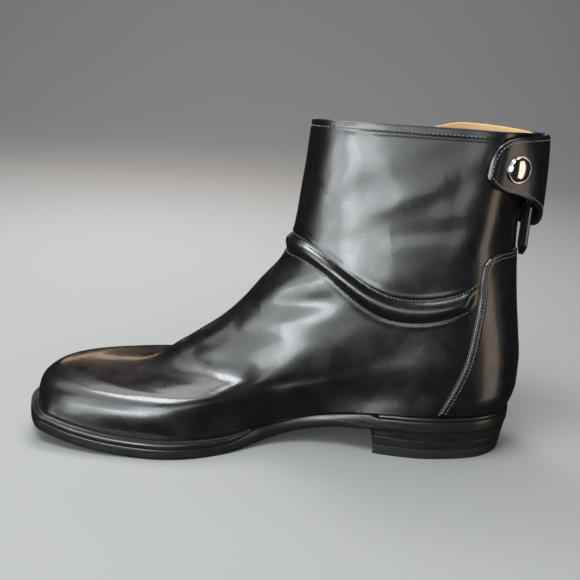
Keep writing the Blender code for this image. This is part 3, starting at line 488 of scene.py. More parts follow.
def ring_at(angle, height):
    """Ring share where the upper reaches a height, at each angle."""
    angle, height = np.broadcast_arrays(np.asarray(angle, float), np.asarray(height, float))
    table = np.linspace(0, 1.08, 28)
    coarse = np.linspace(-math.pi, math.pi, 49)
    levels = upper_point(coarse[:, None], table[None, :])[..., 2]
    turned = np.mod(angle + math.pi, 2 * math.pi) - math.pi
    near = np.clip(np.rint((turned + math.pi) / (coarse[1] - coarse[0])).astype(int), 0, 48)
    ring = np.empty(angle.shape)
    for k in np.unique(near):
        ring[near == k] = np.interp(height[near == k], levels[k], table)
    for _ in range(5):
        off = upper_point(angle, ring)[..., 2] - height
        above = upper_point(angle, ring + 0.002)[..., 2]
        below = upper_point(angle, ring - 0.002)[..., 2]
        slope = (above - below) / 0.004
        ring = np.clip(ring - off / slope, 0.0, 1.08)
    return ring


def find(station, height):
    """Angle on the inner side and ring share of a side-view position."""
    station, height = np.broadcast_arrays(np.asarray(station, float), np.asarray(height, float))
    ring = np.full(station.shape, 0.5)
    for _ in range(12):
        back, front = ends(ring)
        share = (station - back[..., 0]) / (front[..., 0] - back[..., 0])
        angle = np.arccos(1 - 2 * np.clip(share, 0, 1))
        ring = ring_at(angle, height)
    return -angle, ring


def plan_ring(angles, inset, height_of):
    """Ring of the sole's outline at an inset, with heights from its stations."""
    station, side = outline(angles, inset)
    return np.stack([LENGTH / 2 - station, side, height_of(station)], axis=-1)


def welt_share(share):
    """1 where the welt lies under the upper's edge, 0 along the polished waist."""
    return ramp(share, 0.535, 0.585)


def rand_share(share):
    """1 where the rand lies under the upper's edge."""
    return 1 - ramp(share, RAND_END + 0.001, RAND_END + 0.020)


def sole_angles():
    """Angles round the sole, with the rand's ends among them."""
    half = list(np.arange(AROUND // 2 + 1) * 2 * math.pi / AROUND) + [math.acos(1 - 2 * RAND_END)]
    half = np.sort(half)
    return np.concatenate([half, 2 * math.pi - half[-2:0:-1]])


def edge_step(share):
    """Depth of the step round the outsole's top that welt and rand fill."""
    return (0.4 + (WELT_THICKNESS + GAP - 0.4) * welt_share(share)
            + (RAND_THICKNESS + GAP - 0.4) * rand_share(share))


def waist_round(share):
    """1 along the waist, where the sole's edge is rounded off."""
    return ramp(share, 0.31, 0.38) * (1 - ramp(share, 0.50, 0.56))


def heel_inset(height):
    """The heel draws in as it nears the floor."""
    return HEEL_TAPER * (1 - height / (HEEL_HEIGHT - SOLE_EDGE))


def counter_height(share):
    """Height of the back panel at a share of the way up it."""
    return HEEL_HEIGHT + 1.0 + share * (COUNTER_TOP - HEEL_HEIGHT - 1.0)


def roll_rows(angles):
    """Ring shares of the roll's lower and upper stitch row, the same on both sides."""
    rows = np.array(ROLL)
    found = []
    for column, front in ((1, ROLL_FRONT[0]), (2, ROLL_FRONT[1])):
        knots, rings = find(rows[:, 0] * LENGTH, rows[:, column] * COLLAR_HEIGHT)
        knots = np.append(-knots, math.pi)
        rings = np.append(rings, ring_at(math.pi, front * COLLAR_HEIGHT))
        found.append(through(knots, rings, np.abs(angles)))
    return found


def strap_place(angle):
    """Lower edge, upper edge and distances from the shaft there, at an angle in degrees."""
    rows = np.array(STRAP)
    low, high, low_stand, high_stand = [through(rows[:, 0], rows[:, k], angle) for k in (1, 2, 3, 4)]
    return low * COLLAR_HEIGHT, high * COLLAR_HEIGHT, low_stand * STRAP_STAND, high_stand * STRAP_STAND


def strap_stand(angle, height):
    """Free space behind the strap at an angle in degrees and a height."""
    low, high, low_stand, high_stand = strap_place(angle)
    share = np.clip((height - low) / (high - low), 0, 1)
    return low_stand + (high_stand - low_stand) * share ** 2


def strap_face(degree, height, off):
    """Point at a distance from the strap's outer face."""
    angle = np.radians(degree)
    stand = GAP + strap_stand(degree, height) + STRAP_THICKNESS
    return on_upper(angle, ring_at(angle, height), stand + off)


def disc(radius, sides):
    """Points of a circle in its own plane."""
    angles = np.arange(sides) * 2 * math.pi / sides
    return radius * np.cos(angles), radius * np.sin(angles)


def snap_seat():
    """Middle of the snap on the strap, the plane it lies in, and the strap's slope there."""
    middle = strap_face(SNAP_ANGLE, SNAP_HEIGHT, 0.0)
    around = strap_face(SNAP_ANGLE + 0.5, SNAP_HEIGHT, 0.0) - strap_face(SNAP_ANGLE - 0.5, SNAP_HEIGHT, 0.0)
    up = strap_face(SNAP_ANGLE, SNAP_HEIGHT + 0.5, 0.0) - strap_face(SNAP_ANGLE, SNAP_HEIGHT - 0.5, 0.0)
    out = np.cross(around, up)
    out /= np.linalg.norm(out)
    return middle, around, np.cross(out, around / np.linalg.norm(around)), out


def snap_depth(reach, sides, off, from_shaft=False):
    """Distance of a face from the snap's plane round a circle; off is measured from the strap's
    outer face, or from the shaft."""
    u, v = disc(reach, sides)
    middle, around, up, out = snap_seat()
    degree = SNAP_ANGLE + u / np.linalg.norm(around)
    height = SNAP_HEIGHT + v * up[2]
    if from_shaft:
        off = off - strap_stand(degree, height) - STRAP_THICKNESS - GAP
    return (strap_face(degree, height, off) - middle) @ out


def snap_ring(reach, sides, depth):
    """Circle round the snap's middle, at one distance from its plane or at one for each point."""
    u, v = disc(reach, sides)
    middle, around, up, out = snap_seat()
    side = around / np.linalg.norm(around)
    return middle + u[:, None] * side + v[:, None] * up + (depth + 0 * u)[:, None] * out


def zip_face():
    """X of the zip chain's outermost line behind the slider."""
    near = [upper_point(0.0, ring_at(0.0, SLIDER_HEIGHT + side * SLIDER_LENGTH / 2))[0]
            for side in (-1, 1)]
    return float(max(near)) + GAP + ZIP_THICKNESS + 0.5 + GAP


def pull_axis():
    """X and Z of the pin that the pull swings on."""
    return zip_face() + SLIDER_THICKNESS + GAP + EYE_RADIUS, SLIDER_HEIGHT - SLIDER_LENGTH / 2 + 2.0


# where part.py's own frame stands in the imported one
SHIFT = np.array((-1.903, 0.525, 0.0))


# meshes

def grid_faces(rows, columns, closed=False, start=0):
    """Quads of a grid of points; closed joins its last column to its first."""
    r, c = np.meshgrid(np.arange(rows - 1), np.arange(columns if closed else columns - 1), indexing="ij")
    nxt = (c + 1) % columns
    low = r * columns
    high = low + columns
    faces = np.stack([low + c, low + nxt, high + nxt, high + c], -1)
    return (faces.reshape(-1, 4) + start).tolist()


def piece(name, points, faces, looks, replaced=(), body="boot", marks=None, sharp=None):
    """Smooth mesh piece from points in millimetres; marks gives each face's material."""
    mesh = bpy.data.meshes.new(name)
    mesh.from_pydata(((np.asarray(points).reshape(-1, 3) + SHIFT) * MM).tolist(), [], faces)
    shape = bmesh.new()
    shape.from_mesh(mesh)
    if marks is not None:
        shape.faces.ensure_lookup_table()
        for face, mark in zip(shape.faces, marks):
            face.material_index = int(mark)
    bmesh.ops.remove_doubles(shape, verts=shape.verts, dist=0.000004)
    bmesh.ops.recalc_face_normals(shape, faces=shape.faces)
    shape.to_mesh(mesh)
    shape.free()
    for look in looks:
        mesh.materials.append(look)
    mesh.shade_smooth()
    if sharp:
        mesh.set_sharp_from_angle(angle=math.radians(sharp))
    made = bpy.data.objects.new(name, mesh)
    bpy.context.collection.objects.link(made)
    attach(made, body)
    if replaced:
        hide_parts(*replaced)
    return made


def closed_rings(name, rings, looks, replaced, sharp=35):
    """Solid through closed rings, with strips across its first and last."""
    rings = np.array(rings)
    count = rings.shape[1]
    faces = grid_faces(len(rings), count, True)
    for start in (0, (len(rings) - 1) * count):
        for i in range(count // 2):
            strip = (start + i, start + i + 1, start + count - i - 1, start + (count - i) % count)
            faces.append(tuple(dict.fromkeys(strip)))
    return piece(name, rings, faces, looks, replaced, sharp=sharp)


def bar_piece(name, sections, looks, replaced=(), body="boot", sharp=35):
    """Solid through a row of closed sections, both ends closed by one face."""
    sections = np.array(sections)
    count = sections.shape[1]
    faces = grid_faces(len(sections), count, True)
    last = (len(sections) - 1) * count
    faces += [tuple(range(count)), tuple(range(last, last + count))]
    return piece(name, sections, faces, looks, replaced, body, sharp=sharp)


# the upper's relief

def station_of(point):
    """Distance from the heel's back along the foot."""
    return LENGTH / 2 - point[..., 0]


def segment_distance(x, z, a, b):
    """Distance from side-view places to a segment, and the share of the way along it."""
    a, b = np.array(a), np.array(b)
    run = b - a
    share = np.clip(((x - a[0]) * run[0] + (z - a[1]) * run[1]) / (run @ run), 0, 1)
    return np.hypot(x - a[0] - share * run[0], z - a[1] - share * run[1]), share


def creases(station, height, side):
    """Soft troughs and ridges where the leather has been walked in."""
    total = np.zeros_like(station)
    for s0, h0, s1, h1, depth, width, outer_share in CREASES:
        a = (s0 * LENGTH, h0 * COLLAR_HEIGHT)
        b = (s1 * LENGTH, h1 * COLLAR_HEIGHT)
        away, share = segment_distance(station, height, a, b)
        fall = np.exp(-(away / width) ** 2) * (0.35 + 0.65 * np.sin(math.pi * share) ** 0.5)
        total += depth * fall * np.where(side < 0, 1.0, outer_share)
    return total


def waves(point):
    """Very gentle unevenness of leather over a last."""
    x, y, z = point[..., 0], point[..., 1], point[..., 2]
    shaft = ramp(z, 60, 120)
    wave = 0.16 * np.sin(x / 11 + z / 17 + 0.6 * np.sin(z / 13)) * np.cos(y / 15 + z / 21)
    wave += 0.09 * np.sin(x / 5.3 - z / 7.1 + 1.3 * np.sin(x / 19)) * np.cos(z / 9 + y / 11)
    return wave * (0.25 + shaft)


def roll_edge():
    """Angle where the back panel covers the roll's ends."""
    height = (ROLL[0][1] + ROLL[0][2]) / 2 * COLLAR_HEIGHT
    return abs(float(find(ROLL[0][0] * LENGTH, height)[0]))


def relief(angle, ring):
    """Height of the finished leather over the plain form, in millimetres."""
    folded = np.where(angle > math.pi, angle - 2 * math.pi, angle)
    low, high = roll_rows(folded.ravel())
    low, high = low.reshape(folded.shape), high.reshape(folded.shape)
    t = (ring - low) / (high - low)
    seen = ramp(np.abs(folded), ROLL_EDGE - 0.02, ROLL_EDGE + 0.10)
    inside = np.clip(t, 0, 1)
    height = (ROLL_HEIGHT + 0.25) * np.sin(math.pi * inside) ** 0.8 * seen
    for line in (t, t - 1):
        height -= 0.40 * np.exp(-(line * 11.5 / 0.75) ** 2) * seen
        height += 0.22 * np.exp(-((np.abs(line) * 11.5 - 2.3) / 1.2) ** 2) * seen * ((t < 0) | (t > 1))
    point = upper_point(angle, ring)
    height += creases(station_of(point), point[..., 2], point[..., 1])
    height += waves(point) * (1 - 0.5 * seen * ((t > 0) & (t < 1)))
    edge = (COLLAR_HEIGHT - point[..., 2]) / 1.0
    height -= 0.35 * np.exp(-((edge - 3.0) / 0.7) ** 2) * ramp(ring, 0.9, 0.93)
    return height * ramp(ring, 0.0, 0.03)


def skin(angle, ring, off=0.0):
    """Point at a distance over the finished leather."""
    angle, ring = np.broadcast_arrays(np.asarray(angle, float), np.asarray(ring, float))
    return on_upper(angle, ring, relief(angle, ring) + off)


def make_skin(leather, lining):
    """Upper: outer leather, turned edge at the collar, and lining."""
    angles = np.arange(SKIN_AROUND) * 2 * math.pi / SKIN_AROUND
    rings = np.concatenate([np.linspace(0, 0.5, 90)[:-1], np.linspace(0.5, 0.80, 90)[:-1],
                            np.linspace(0.80, 1.0, 50)])
    a, r = np.meshgrid(angles, rings)
    outer = skin(a, r)
    outer[0, :, 2] += GAP
    inner_rings = np.linspace(1.0, 0.0, 36)
    ai, ri = np.meshgrid(angles, inner_rings)
    inner = on_upper(ai, ri, 0 * ai - WALL)
    inner[-1, :, 2] = upper_point(angles, 0.0)[:, 2] + GAP
    rim_out, rim_in = outer[-1], inner[0]
    rim_in[:, 2] = rim_out[:, 2]
    lip = []
    for turn in np.linspace(0, math.pi, 9)[1:-1]:
        blend = (1 - math.cos(turn)) / 2
        row = rim_out * (1 - blend) + rim_in * blend
        row[:, 2] += 0.7 * math.sin(turn)
        lip.append(row)
    rows = np.concatenate([outer, np.array(lip), inner])
    faces = grid_faces(len(rows), SKIN_AROUND, True)
    bottom = (len(rows) - 1) * SKIN_AROUND
    faces += [(i, (i + 1) % SKIN_AROUND, bottom + (i + 1) % SKIN_AROUND, bottom + i)
              for i in range(SKIN_AROUND)]
    turned_in = len(rings) + len(lip) // 2 + 1
    marks = [0] * (turned_in * SKIN_AROUND) + [1] * ((len(rows) - 1 - turned_in) * SKIN_AROUND)
    marks += [0] * SKIN_AROUND
    return piece("boot_upper", rows, faces, [leather, lining], ("upper", "ankle_roll"),
                 marks=marks)


# back panel

def panel_edge(row):
    """Height of a row of the back panel and the angle of its front edge there."""
    edge = np.array(COUNTER_EDGE)
    height = counter_height(row)
    station = through(edge[:, 0], edge[:, 1], row) * LENGTH
    return height, np.abs(find(station, height)[0])


def panel_off(angle, height, from_edge, from_top):
    """Distance of the panel's face from the plain form, with its cut edges rounded."""
    point = upper_point(angle, ring_at(angle, height))
    middle = upper_point(0.0, ring_at(0.0, height))
    from_slot = np.abs(point[..., 1] - middle[..., 1]) - ZIP_SLOT / 2
    slotted = height > ZIP_FOOT
    from_slot = np.where(slotted, from_slot, np.maximum(from_slot, ZIP_FOOT - height))
    near = np.minimum(np.minimum(from_edge, from_top), from_slot)
    soft = np.clip(near / 0.9, 0, 1)
    crown = np.sqrt(np.clip(1 - (1 - soft) ** 2, 0, 1))
    return -0.25 + (GAP + COUNTER_THICKNESS + 0.25) * crown


def make_panel(leather):
    """Back panel with its cut edges rounded and two seams along its front edge."""
    rows = np.concatenate([np.linspace(0, 0.86, 110)[:-1], np.linspace(0.86, 1.0, 60)])
    t = np.linspace(-1, 1, 181)
    columns = np.sign(t) * (1 - (1 - np.abs(t)) ** 1.35)
    height, reach = panel_edge(rows)
    a = columns[None, :] * reach[:, None]
    h = np.broadcast_to(height[:, None], a.shape)
    ring = ring_at(a, h)
    breadth = np.linalg.norm(upper_point(a + 0.01, ring) - upper_point(a - 0.01, ring), axis=-1) / 0.02
    from_edge = (reach[:, None] - np.abs(a)) * breadth
    from_top = (1 - rows)[:, None] * (COUNTER_TOP - HEEL_HEIGHT - 1.0) + 0 * a
    off = panel_off(a, h, from_edge, from_top)
    seam = 0.16 * (np.exp(-((from_edge - 1.5) / 0.45) ** 2) + np.exp(-((from_edge - 3.6) / 0.45) ** 2))
    points = on_upper(a, ring, off - seam * (off > 0.5))
    return piece("back_panel", points, grid_faces(*a.shape), [leather], ("back_counter",))


# stitches

def stitches(name, path, normals, pitch, long, radius, look, body="boot", lift=0.05):
    """Row of sewn threads along a path on a surface."""
    path, normals = np.asarray(path), np.asarray(normals)
    steps = np.linalg.norm(np.diff(path, axis=0), axis=1)
    along = np.concatenate([[0], np.cumsum(steps)])
    count = max(int(along[-1] / pitch), 1)
    at = (np.arange(count) + 0.5) * along[-1] / count
    read = lambda values, s: np.stack([np.interp(s, along, values[:, k]) for k in range(3)], -1)
    middle = read(path, at)
    tangent = read(path, at + 0.4) - read(path, at - 0.4)
    tangent /= np.linalg.norm(tangent, axis=1, keepdims=True)
    out = read(normals, at)
    out /= np.linalg.norm(out, axis=1, keepdims=True)
    cross = np.cross(out, tangent)
    shares = np.array((-1.0, -0.8, -0.3, 0.3, 0.8, 1.0))
    widths = np.array((0.25, 0.8, 1.0, 1.0, 0.8, 0.25))
    turns = np.arange(6) * math.pi / 3
    points, faces = [], []
    for m, t, n, c in zip(middle, tangent, out, cross):
        start = len(points) * 6
        for share, wide in zip(shares, widths):
            centre = m + t * share * long / 2 + n * (lift - 0.5 * radius * share ** 4)
            ring = np.cos(turns)[:, None] * c + np.sin(turns)[:, None] * n
            points.append(centre + radius * wide * ring)
        faces += grid_faces(6, 6, True, start)
        faces += [tuple(range(start, start + 6)), tuple(range(start + 30, start + 36))]
    return piece(name, np.concatenate(points), faces, [look], body=body)


def inset_path(angle, height, distance, face_of):
    """Path moved sideways on a surface, towards the left of its direction."""
    grow = 0.002
    across = face_of(angle + grow, height) - face_of(angle - grow, height)
    breadth = np.linalg.norm(across, axis=-1) / (2 * grow)
    du = np.gradient(angle) * breadth
    dv = np.gradient(height)
    size = np.hypot(du, dv) + 1e-9
    return angle - dv / size * distance / breadth, height + du / size * distance


def normals_of(face_of, angle, height):
    """Outward directions of a surface."""
    around = face_of(angle + 0.003, height) - face_of(angle - 0.003, height)
    up = face_of(angle, height + 0.2) - face_of(angle, height - 0.2)
    normal = np.cross(around, up)
    return normal / np.linalg.norm(normal, axis=-1, keepdims=True)


def sew(name, angle, height, face_of, pitch, long, radius, look, lift=0.05):
    """Row of stitches along a path on a surface."""
    normals = normals_of(face_of, angle, height)
    return stitches(name, face_of(angle, height), normals, pitch, long, radius, look, lift=lift)


def skin_at(angle, height):
    """Point of the finished leather at an angle and a height."""
    return skin(angle, ring_at(angle, height))


def panel_at(angle, height):
    """Point of the back panel's face."""
    return on_upper(angle, ring_at(angle, height), GAP + COUNTER_THICKNESS + 0 * angle)


def sew_upper(thread):
    """Top line, both rows of the roll, and the back panel's rows."""
    turn = np.radians(np.linspace(62, 298, 260))
    top = upper_point(turn, 1.0)[:, 2] - 3.0
    sew("top_line_stitches", turn, top, skin_at, 2.25, 1.45, 0.32, thread, lift=0.12)
    turn = np.linspace(ROLL_EDGE + 0.03, 2 * math.pi - ROLL_EDGE - 0.03, 420)
    folded = np.where(turn > math.pi, turn - 2 * math.pi, turn)
    low, high = roll_rows(folded)
    for name, rows, move in (("roll_low", low, -0.004), ("roll_high", high, 0.004)):
        height = upper_point(turn, rows + move)[:, 2]
        sew(name + "_stitches", turn, height, skin_at, 1.9, 1.2, 0.27, thread)
    rows = np.linspace(0.015, 0.995, 220)
    height, reach = panel_edge(rows)
    top = np.linspace(reach[-1] * 0.95, (ZIP_SLOT / 2 + 1.2) / 26, 40)
    for side, label in ((-1, "inner"), (1, "outer")):
        angle = np.concatenate([reach, top]) * side
        level = np.concatenate([height, np.full(40, float(counter_height(1.0)))])
        for distance, row in ((1.5, "a"), (3.6, "b")):
            moved, lifted = inset_path(angle, level, distance * side, panel_at)
            keep = lifted < COUNTER_TOP - distance + 0.4
            sew(f"panel_{label}_{row}", moved[keep], lifted[keep], panel_at, 1.9, 1.2, 0.25, thread)


# sole and heel

# sole's edge from below: inset and height, then both along the waist
SOLE_PROFILE = (
    (6.0, 0.0, 8.0, 0.0),
    (1.1, 0.0, 2.8, 0.15),
    (0.55, 0.12, 1.9, 0.55),
    (0.22, 0.4, 1.2, 1.1),
    (0.06, 0.9, 0.7, 1.9),
    (0.0, 1.6, 0.35, 2.8),
    (0.0, 3.2, 0.15, 4.2),
    (0.0, 4.6, 0.2, 5.4),
)


def make_sole(edge):
    """Outsole with its rounded edge, the waist rolled under, and the step for welt and rand."""
    angles = sole_angles()
    share = share_along(angles)
    waist = waist_round(share)
    rings = []
    for inset, up, waist_inset, waist_up in SOLE_PROFILE:
        ring = plan_ring(angles, inset + (waist_inset - inset) * waist, sole_bottom)
        ring[:, 2] += up + (waist_up - up) * waist
        rings.append(ring)
    step = edge_step(share)
    seat = shelf(share) + WALL + SEAT_DEPTH + 2 * GAP
    upper_rows = (
        (0.02 + 0.45 * waist, step + 0.35 + 0.9 * waist),
        (0.15 + 0.9 * waist, step + 0.3 * waist),
        (0.6 + 1.4 * waist, step),
        (seat, step),
        (seat, 0.0),
    )
    for inset, drop in upper_rows:
        ring = plan_ring(angles, inset, sole_top)
        ring[:, 2] -= drop
        rings.append(ring)
    return closed_rings("sole_body", rings, [edge], ("outsole",))


def strip_piece(name, angles, thickness, replaced, look, wheeled):
    """Welt or rand, with its top edge rounded and, on the welt, a groove and marks of the wheel."""
    share = share_along(angles)
    show = shelf(share)
    low = np.maximum(edge_step(share) - GAP, 0.25)
    high = np.minimum(thickness, low)
    line = plan_ring(angles, 0.0, sole_top)
    arc = np.concatenate([[0], np.cumsum(np.linalg.norm(np.diff(line, axis=0), axis=1))])
    mark = WHEEL_DEPTH * wheeled * (0.5 + 0.5 * np.cos(2 * math.pi * arc / WHEEL_PITCH)) ** 3
    reach = show + WALL + SEAT_DEPTH
    rows = ((0.5, low), (0.3, low - 0.2 * high), (0.25, low - 0.55 * high), (0.32, low - 0.82 * high),
            (0.6, low - 0.96 * high), (1.0, low - high + mark), (0.45 * show + 0.3, low - high + mark),
            (0.62 * show + 0.3, low - high + 0.35 * wheeled), (0.8 * show + 0.3, low - high),
            (reach, low - high), (reach, low))
    sections = []
    for move, drop in rows:
        line = plan_ring(angles, move, sole_top)
        line[:, 2] -= drop
        sections.append(line)
    return bar_piece(name, np.stack(sections, axis=1), [look], replaced)


def make_heel(look, rubber):
    """Three lifts with slightly rounded edges."""
    second = TOP_LIFT_HEIGHT + GAP
    third = TOP_LIFT_HEIGHT + 2 * GAP + LIFT_HEIGHT
    levels = (
        ("lift_rubber", 0.0, TOP_LIFT_HEIGHT, rubber, "top_lift", "top_lift_rubber"),
        ("lift_lower", second, second + LIFT_HEIGHT, look, "heel_lift_lower", "sole_edge"),
        ("lift_upper", third, None, look, "heel_lift_upper", "sole_edge"),
    )
    seat_inset = heel_inset(HEEL_HEIGHT - SOLE_EDGE)
    for name, low, high, finish, node, slot_name in levels:
        rings = []
        for edge, up in ((0.30, 0.0), (0.12, 0.05), (0.03, 0.15), (0.0, 0.3)):
            rings.append(dense_heel_ring(lambda s: low + up + 0 * s, edge + heel_inset(low + up)))
        if high is None:
            rings.append(dense_heel_ring(lambda s: sole_bottom(s) - 0.05, seat_inset))
        else:
            for edge, down in ((0.0, 0.25), (0.03, 0.1), (0.12, 0.0), (0.30, -0.06)):
                rings.append(dense_heel_ring(lambda s: high - down + 0 * s, edge + heel_inset(high - down)))
        bar_piece(name, rings, [finish], (node,))


def dense_heel_ring(height_of, inset):
    """Closed line round the heel, across its hollow breast."""
    reach = math.acos(1 - 2 * HEEL_LENGTH / LENGTH)
    angles = np.linspace(-reach, reach, 141)
    station, side = outline(angles, 0.5 + inset * (0.25 + 0.75 * np.maximum(np.cos(angles), 0) ** 2))
    station = np.minimum(station, HEEL_LENGTH)
    station[[0, -1]] = HEEL_LENGTH
    across = np.linspace(1, -1, 41)[1:-1]
    middle = (side[0] + side[-1]) / 2
    half = (side[-1] - side[0]) / 2
    station = np.concatenate([station, HEEL_LENGTH - BREAST_HOLLOW * (1 - across ** 2)])
    side = np.concatenate([side, middle + across * half])
    return np.stack([LENGTH / 2 - station, side, height_of(station)], axis=-1)


# strap, snap, zip

def strap_sheet(across, degrees, off_of):
    """Grid of points on the strap, at distances that its edges round off."""
    degree = np.broadcast_to(degrees[:, None], (len(degrees), len(across)))
    low, high = strap_place(degree)[:2]
    heights = low + (high - low) * across[None, :]
    angle = np.radians(degree)
    edge = np.minimum(np.minimum(heights - low, high - heights), (degree - STRAP[0][0]) * 0.42)
    off = GAP + strap_stand(degree, heights) + off_of(np.clip(edge / 1.3, 0, 1), edge)
    return on_upper(angle, ring_at(angle, heights), off)


def make_strap(leather):
    """Strap with rounded edges and a seam groove inside them."""
    first, last = STRAP[0][0], STRAP[-1][0]
    tip = first + 3.5 * np.linspace(0, 1, 16) ** 1.6
    degrees = np.concatenate([tip, np.linspace(first + 3.9, last, 150)])
    t = np.linspace(-1, 1, 61)
    across = (1 + np.sign(t) * (1 - (1 - np.abs(t)) ** 1.5)) / 2
    crown = lambda soft: STRAP_THICKNESS / 2 * np.sqrt(1 - (1 - soft) ** 2)
    groove = lambda edge: 0.12 * np.exp(-((edge - 2.6) / 0.45) ** 2)
    outer = strap_sheet(across, degrees, lambda soft, e: STRAP_THICKNESS / 2 + crown(soft) - groove(e))
    inner = strap_sheet(across, degrees, lambda soft, e: STRAP_THICKNESS / 2 - crown(soft))
    rows, columns = outer.shape[:2]
    points = np.concatenate([outer.reshape(-1, 3), inner.reshape(-1, 3)])
    size = rows * columns
    faces = grid_faces(rows, columns) + grid_faces(rows, columns, start=size)
    last = (rows - 1) * columns
    faces += [(last + c, last + c + 1, size + last + c + 1, size + last + c) for c in range(columns - 1)]
    return piece("strap_leather", points, faces, [leather], ("closing_strap",))


def strap_at(angle, height):
    """Point of the strap's face."""
    degree = np.degrees(angle)
    return strap_face(degree, height, 0.0 * degree)


def sew_strap(look):
    """One row just inside the strap's edge."""
    degrees = np.linspace(STRAP[-1][0] - 1.0, STRAP[0][0], 200)
    low, high = strap_place(degrees)[:2]
    angle = np.radians(np.concatenate([degrees, degrees[::-1]]))
    height = np.concatenate([low, high[::-1]])
    angle, height = inset_path(angle, height, -2.3, strap_at)
    low, high = strap_place(np.degrees(angle))[:2]
    keep = (height > low + 1.2) & (height < high - 1.2) & (angle > math.radians(STRAP[0][0] + 2.0))
    sew("strap_stitches", angle[keep], height[keep], strap_at, 2.2, 1.5, 0.27, look)


def make_snap_cap(steel):
    """Snap with a rolled rim, a fine groove and a bare dome."""
    radius = SNAP_DIAMETER / 2
    rings = []
    for share, lift in ((0.4, 0.12), (0.8, 0.12), (0.985, 0.12), (1.0, 0.30)):
        reach = share * radius
        seat = snap_depth(reach, SNAP_SIDES, 0.0)
        rings.append(snap_ring(reach, SNAP_SIDES, seat + lift))
    top = GAP + SNAP_FLANGE
    rows = ((1.0, top - 0.35), (0.985, top - 0.12), (0.95, top), (0.905, top + 0.02), (0.885, top - 0.10),
            (0.865, top - 0.02))
    rings += [snap_ring(radius * r, SNAP_SIDES, h) for r, h in rows]
    for tilt in np.linspace(8, 86, 14):
        turn = math.radians(tilt)
        reach = radius * 0.86 * math.cos(turn)
        height = top + (SNAP_DOME - SNAP_FLANGE) * math.sin(turn)
        rings.append(snap_ring(reach, SNAP_SIDES, height))
    bar_piece("snap_dome", rings, [steel], ("snap_cap",), sharp=50)


def zip_line(height, side, off):
    """Points over the middle of the back, moved sideways by millimetres."""
    height, side, off = np.broadcast_arrays(height, side, off)
    flat = height.ravel()
    half = fullness(np.zeros(len(flat)), ring_at(np.zeros(len(flat)), flat)).reshape(height.shape)
    angle = side / half
    return on_upper(angle, ring_at(angle, height), off)


def make_zip_pieces(tape, metal):
    """Cloth tape in the back's slot, and the closed row of teeth below the slider."""
    heights = np.linspace(ZIP_FOOT + 0.6, COLLAR_HEIGHT - 0.6, 90)
    across = np.linspace(-1, 1, 13) * (ZIP_WIDTH / 2 + 0.5)
    points = zip_line(heights[:, None], across[None, :], GAP + 0.25 + 0.05 * np.cos(across * 9)[None, :])
    piece("zip_tape", points, grid_faces(90, 13), [tape], ("zip_chain",))
    count = int((SLIDER_HEIGHT - SLIDER_LENGTH / 2 - ZIP_FOOT - 2.5) / TOOTH_PITCH)
    k = np.arange(count)
    middle = ZIP_FOOT + 2.0 + k * TOOTH_PITCH
    hand = np.where(k % 2, 1.0, -1.0)
    reach = np.repeat((-0.55, 0.3, 1.5), 4)
    wide = np.repeat((0.46, 0.46, 0.34), 4)
    up = np.tile((-1, -1, 1, 1), 3) * wide
    off = np.tile((0.45, 1.25, 1.25, 0.45), 3)
    levels = middle[:, None] + up[None, :]
    points = zip_line(levels, hand[:, None] * reach[None, :], off[None, :] + 0 * levels)
    faces = []
    for start in range(0, 12 * count, 12):
        faces += grid_faces(3, 4, True, start)
        faces += [tuple(range(start, start + 4)), tuple(range(start + 8, start + 12))]
    piece("zip_teeth", points, faces, [metal], sharp=30)


# pull's breadth along its length, both as shares
PULL_BREADTH = (
    (0.0, 0.80),
    (0.02, 0.88),
    (0.30, 0.92),
    (0.80, 1.0),
    (0.86, 0.80),
    (0.93, 0.50),
    (0.98, 0.22),
    (1.0, 0.06),
)


def make_pull_piece(leather, thread):
    """Leather pull of two layers, with its edges rounded and a row of stitches on each side."""
    axis = pull_axis()
    rows = np.array(PULL_BREADTH)
    at = np.concatenate([np.linspace(0, 0.78, 30), np.linspace(0.80, 1.0, 24)])
    half = np.interp(at, rows[:, 0], rows[:, 1]) * PULL_WIDTH / 2
    level = axis[1] - EYE_RADIUS - 1.4 - at * PULL_LENGTH
    soft = np.minimum(0.45, half * 0.6)
    thick = PULL_THICKNESS / 2
    inner = np.maximum(half - 1.5, 0.05)[half > 1.9]
    for side, label in ((1, "outer"), (-1, "inner")):
        section = ((0.05, 0.1 - half), (0.05, half - 0.1), (0.25, half), (thick - 0.5 * soft, half),
                   (thick - 0.1, half - 0.4 * soft), (thick, half - soft), (thick, soft - half),
                   (thick - 0.1, 0.4 * soft - half), (thick - 0.5 * soft, -half), (0.25, -half))
        lines = [np.stack([axis[0] + side * (off + 0 * half), y, level], -1) for off, y in section]
        sections = np.stack(lines, 1)
        bar_piece(f"pull_{label}", sections, [leather], ("pull_tab",), body="pull", sharp=40)
        kept = level[half > 1.9]
        down = np.stack([0 * kept, -inner, kept], -1)
        back = np.stack([0 * kept, inner, kept], -1)[::-1]
        edge = np.concatenate([down, back])
        edge[:, 0] = axis[0] + side * thick
        out = np.tile((float(side), 0, 0), (len(edge), 1))
        stitches(f"pull_stitches_{label}", edge, out, 2.0, 1.35, 0.2, thread, body="pull", lift=0.02)


# materials

def shader(name, colour, roughness, metallic=0.0, coat=0.0, coat_roughness=0.1, specular=0.5):
    """Material of one principled shader, with its tree and that node."""
    made = bpy.data.materials.new(name)
    made.use_nodes = True
    node = made.node_tree.nodes["Principled BSDF"]
    node.inputs["Base Color"].default_value = (*colour, 1)
    node.inputs["Roughness"].default_value = roughness
    node.inputs["Metallic"].default_value = metallic
    node.inputs["Coat Weight"].default_value = coat
    node.inputs["Coat Roughness"].default_value = coat_roughness
    node.inputs["Specular IOR Level"].default_value = specular
    return made, made.node_tree, node


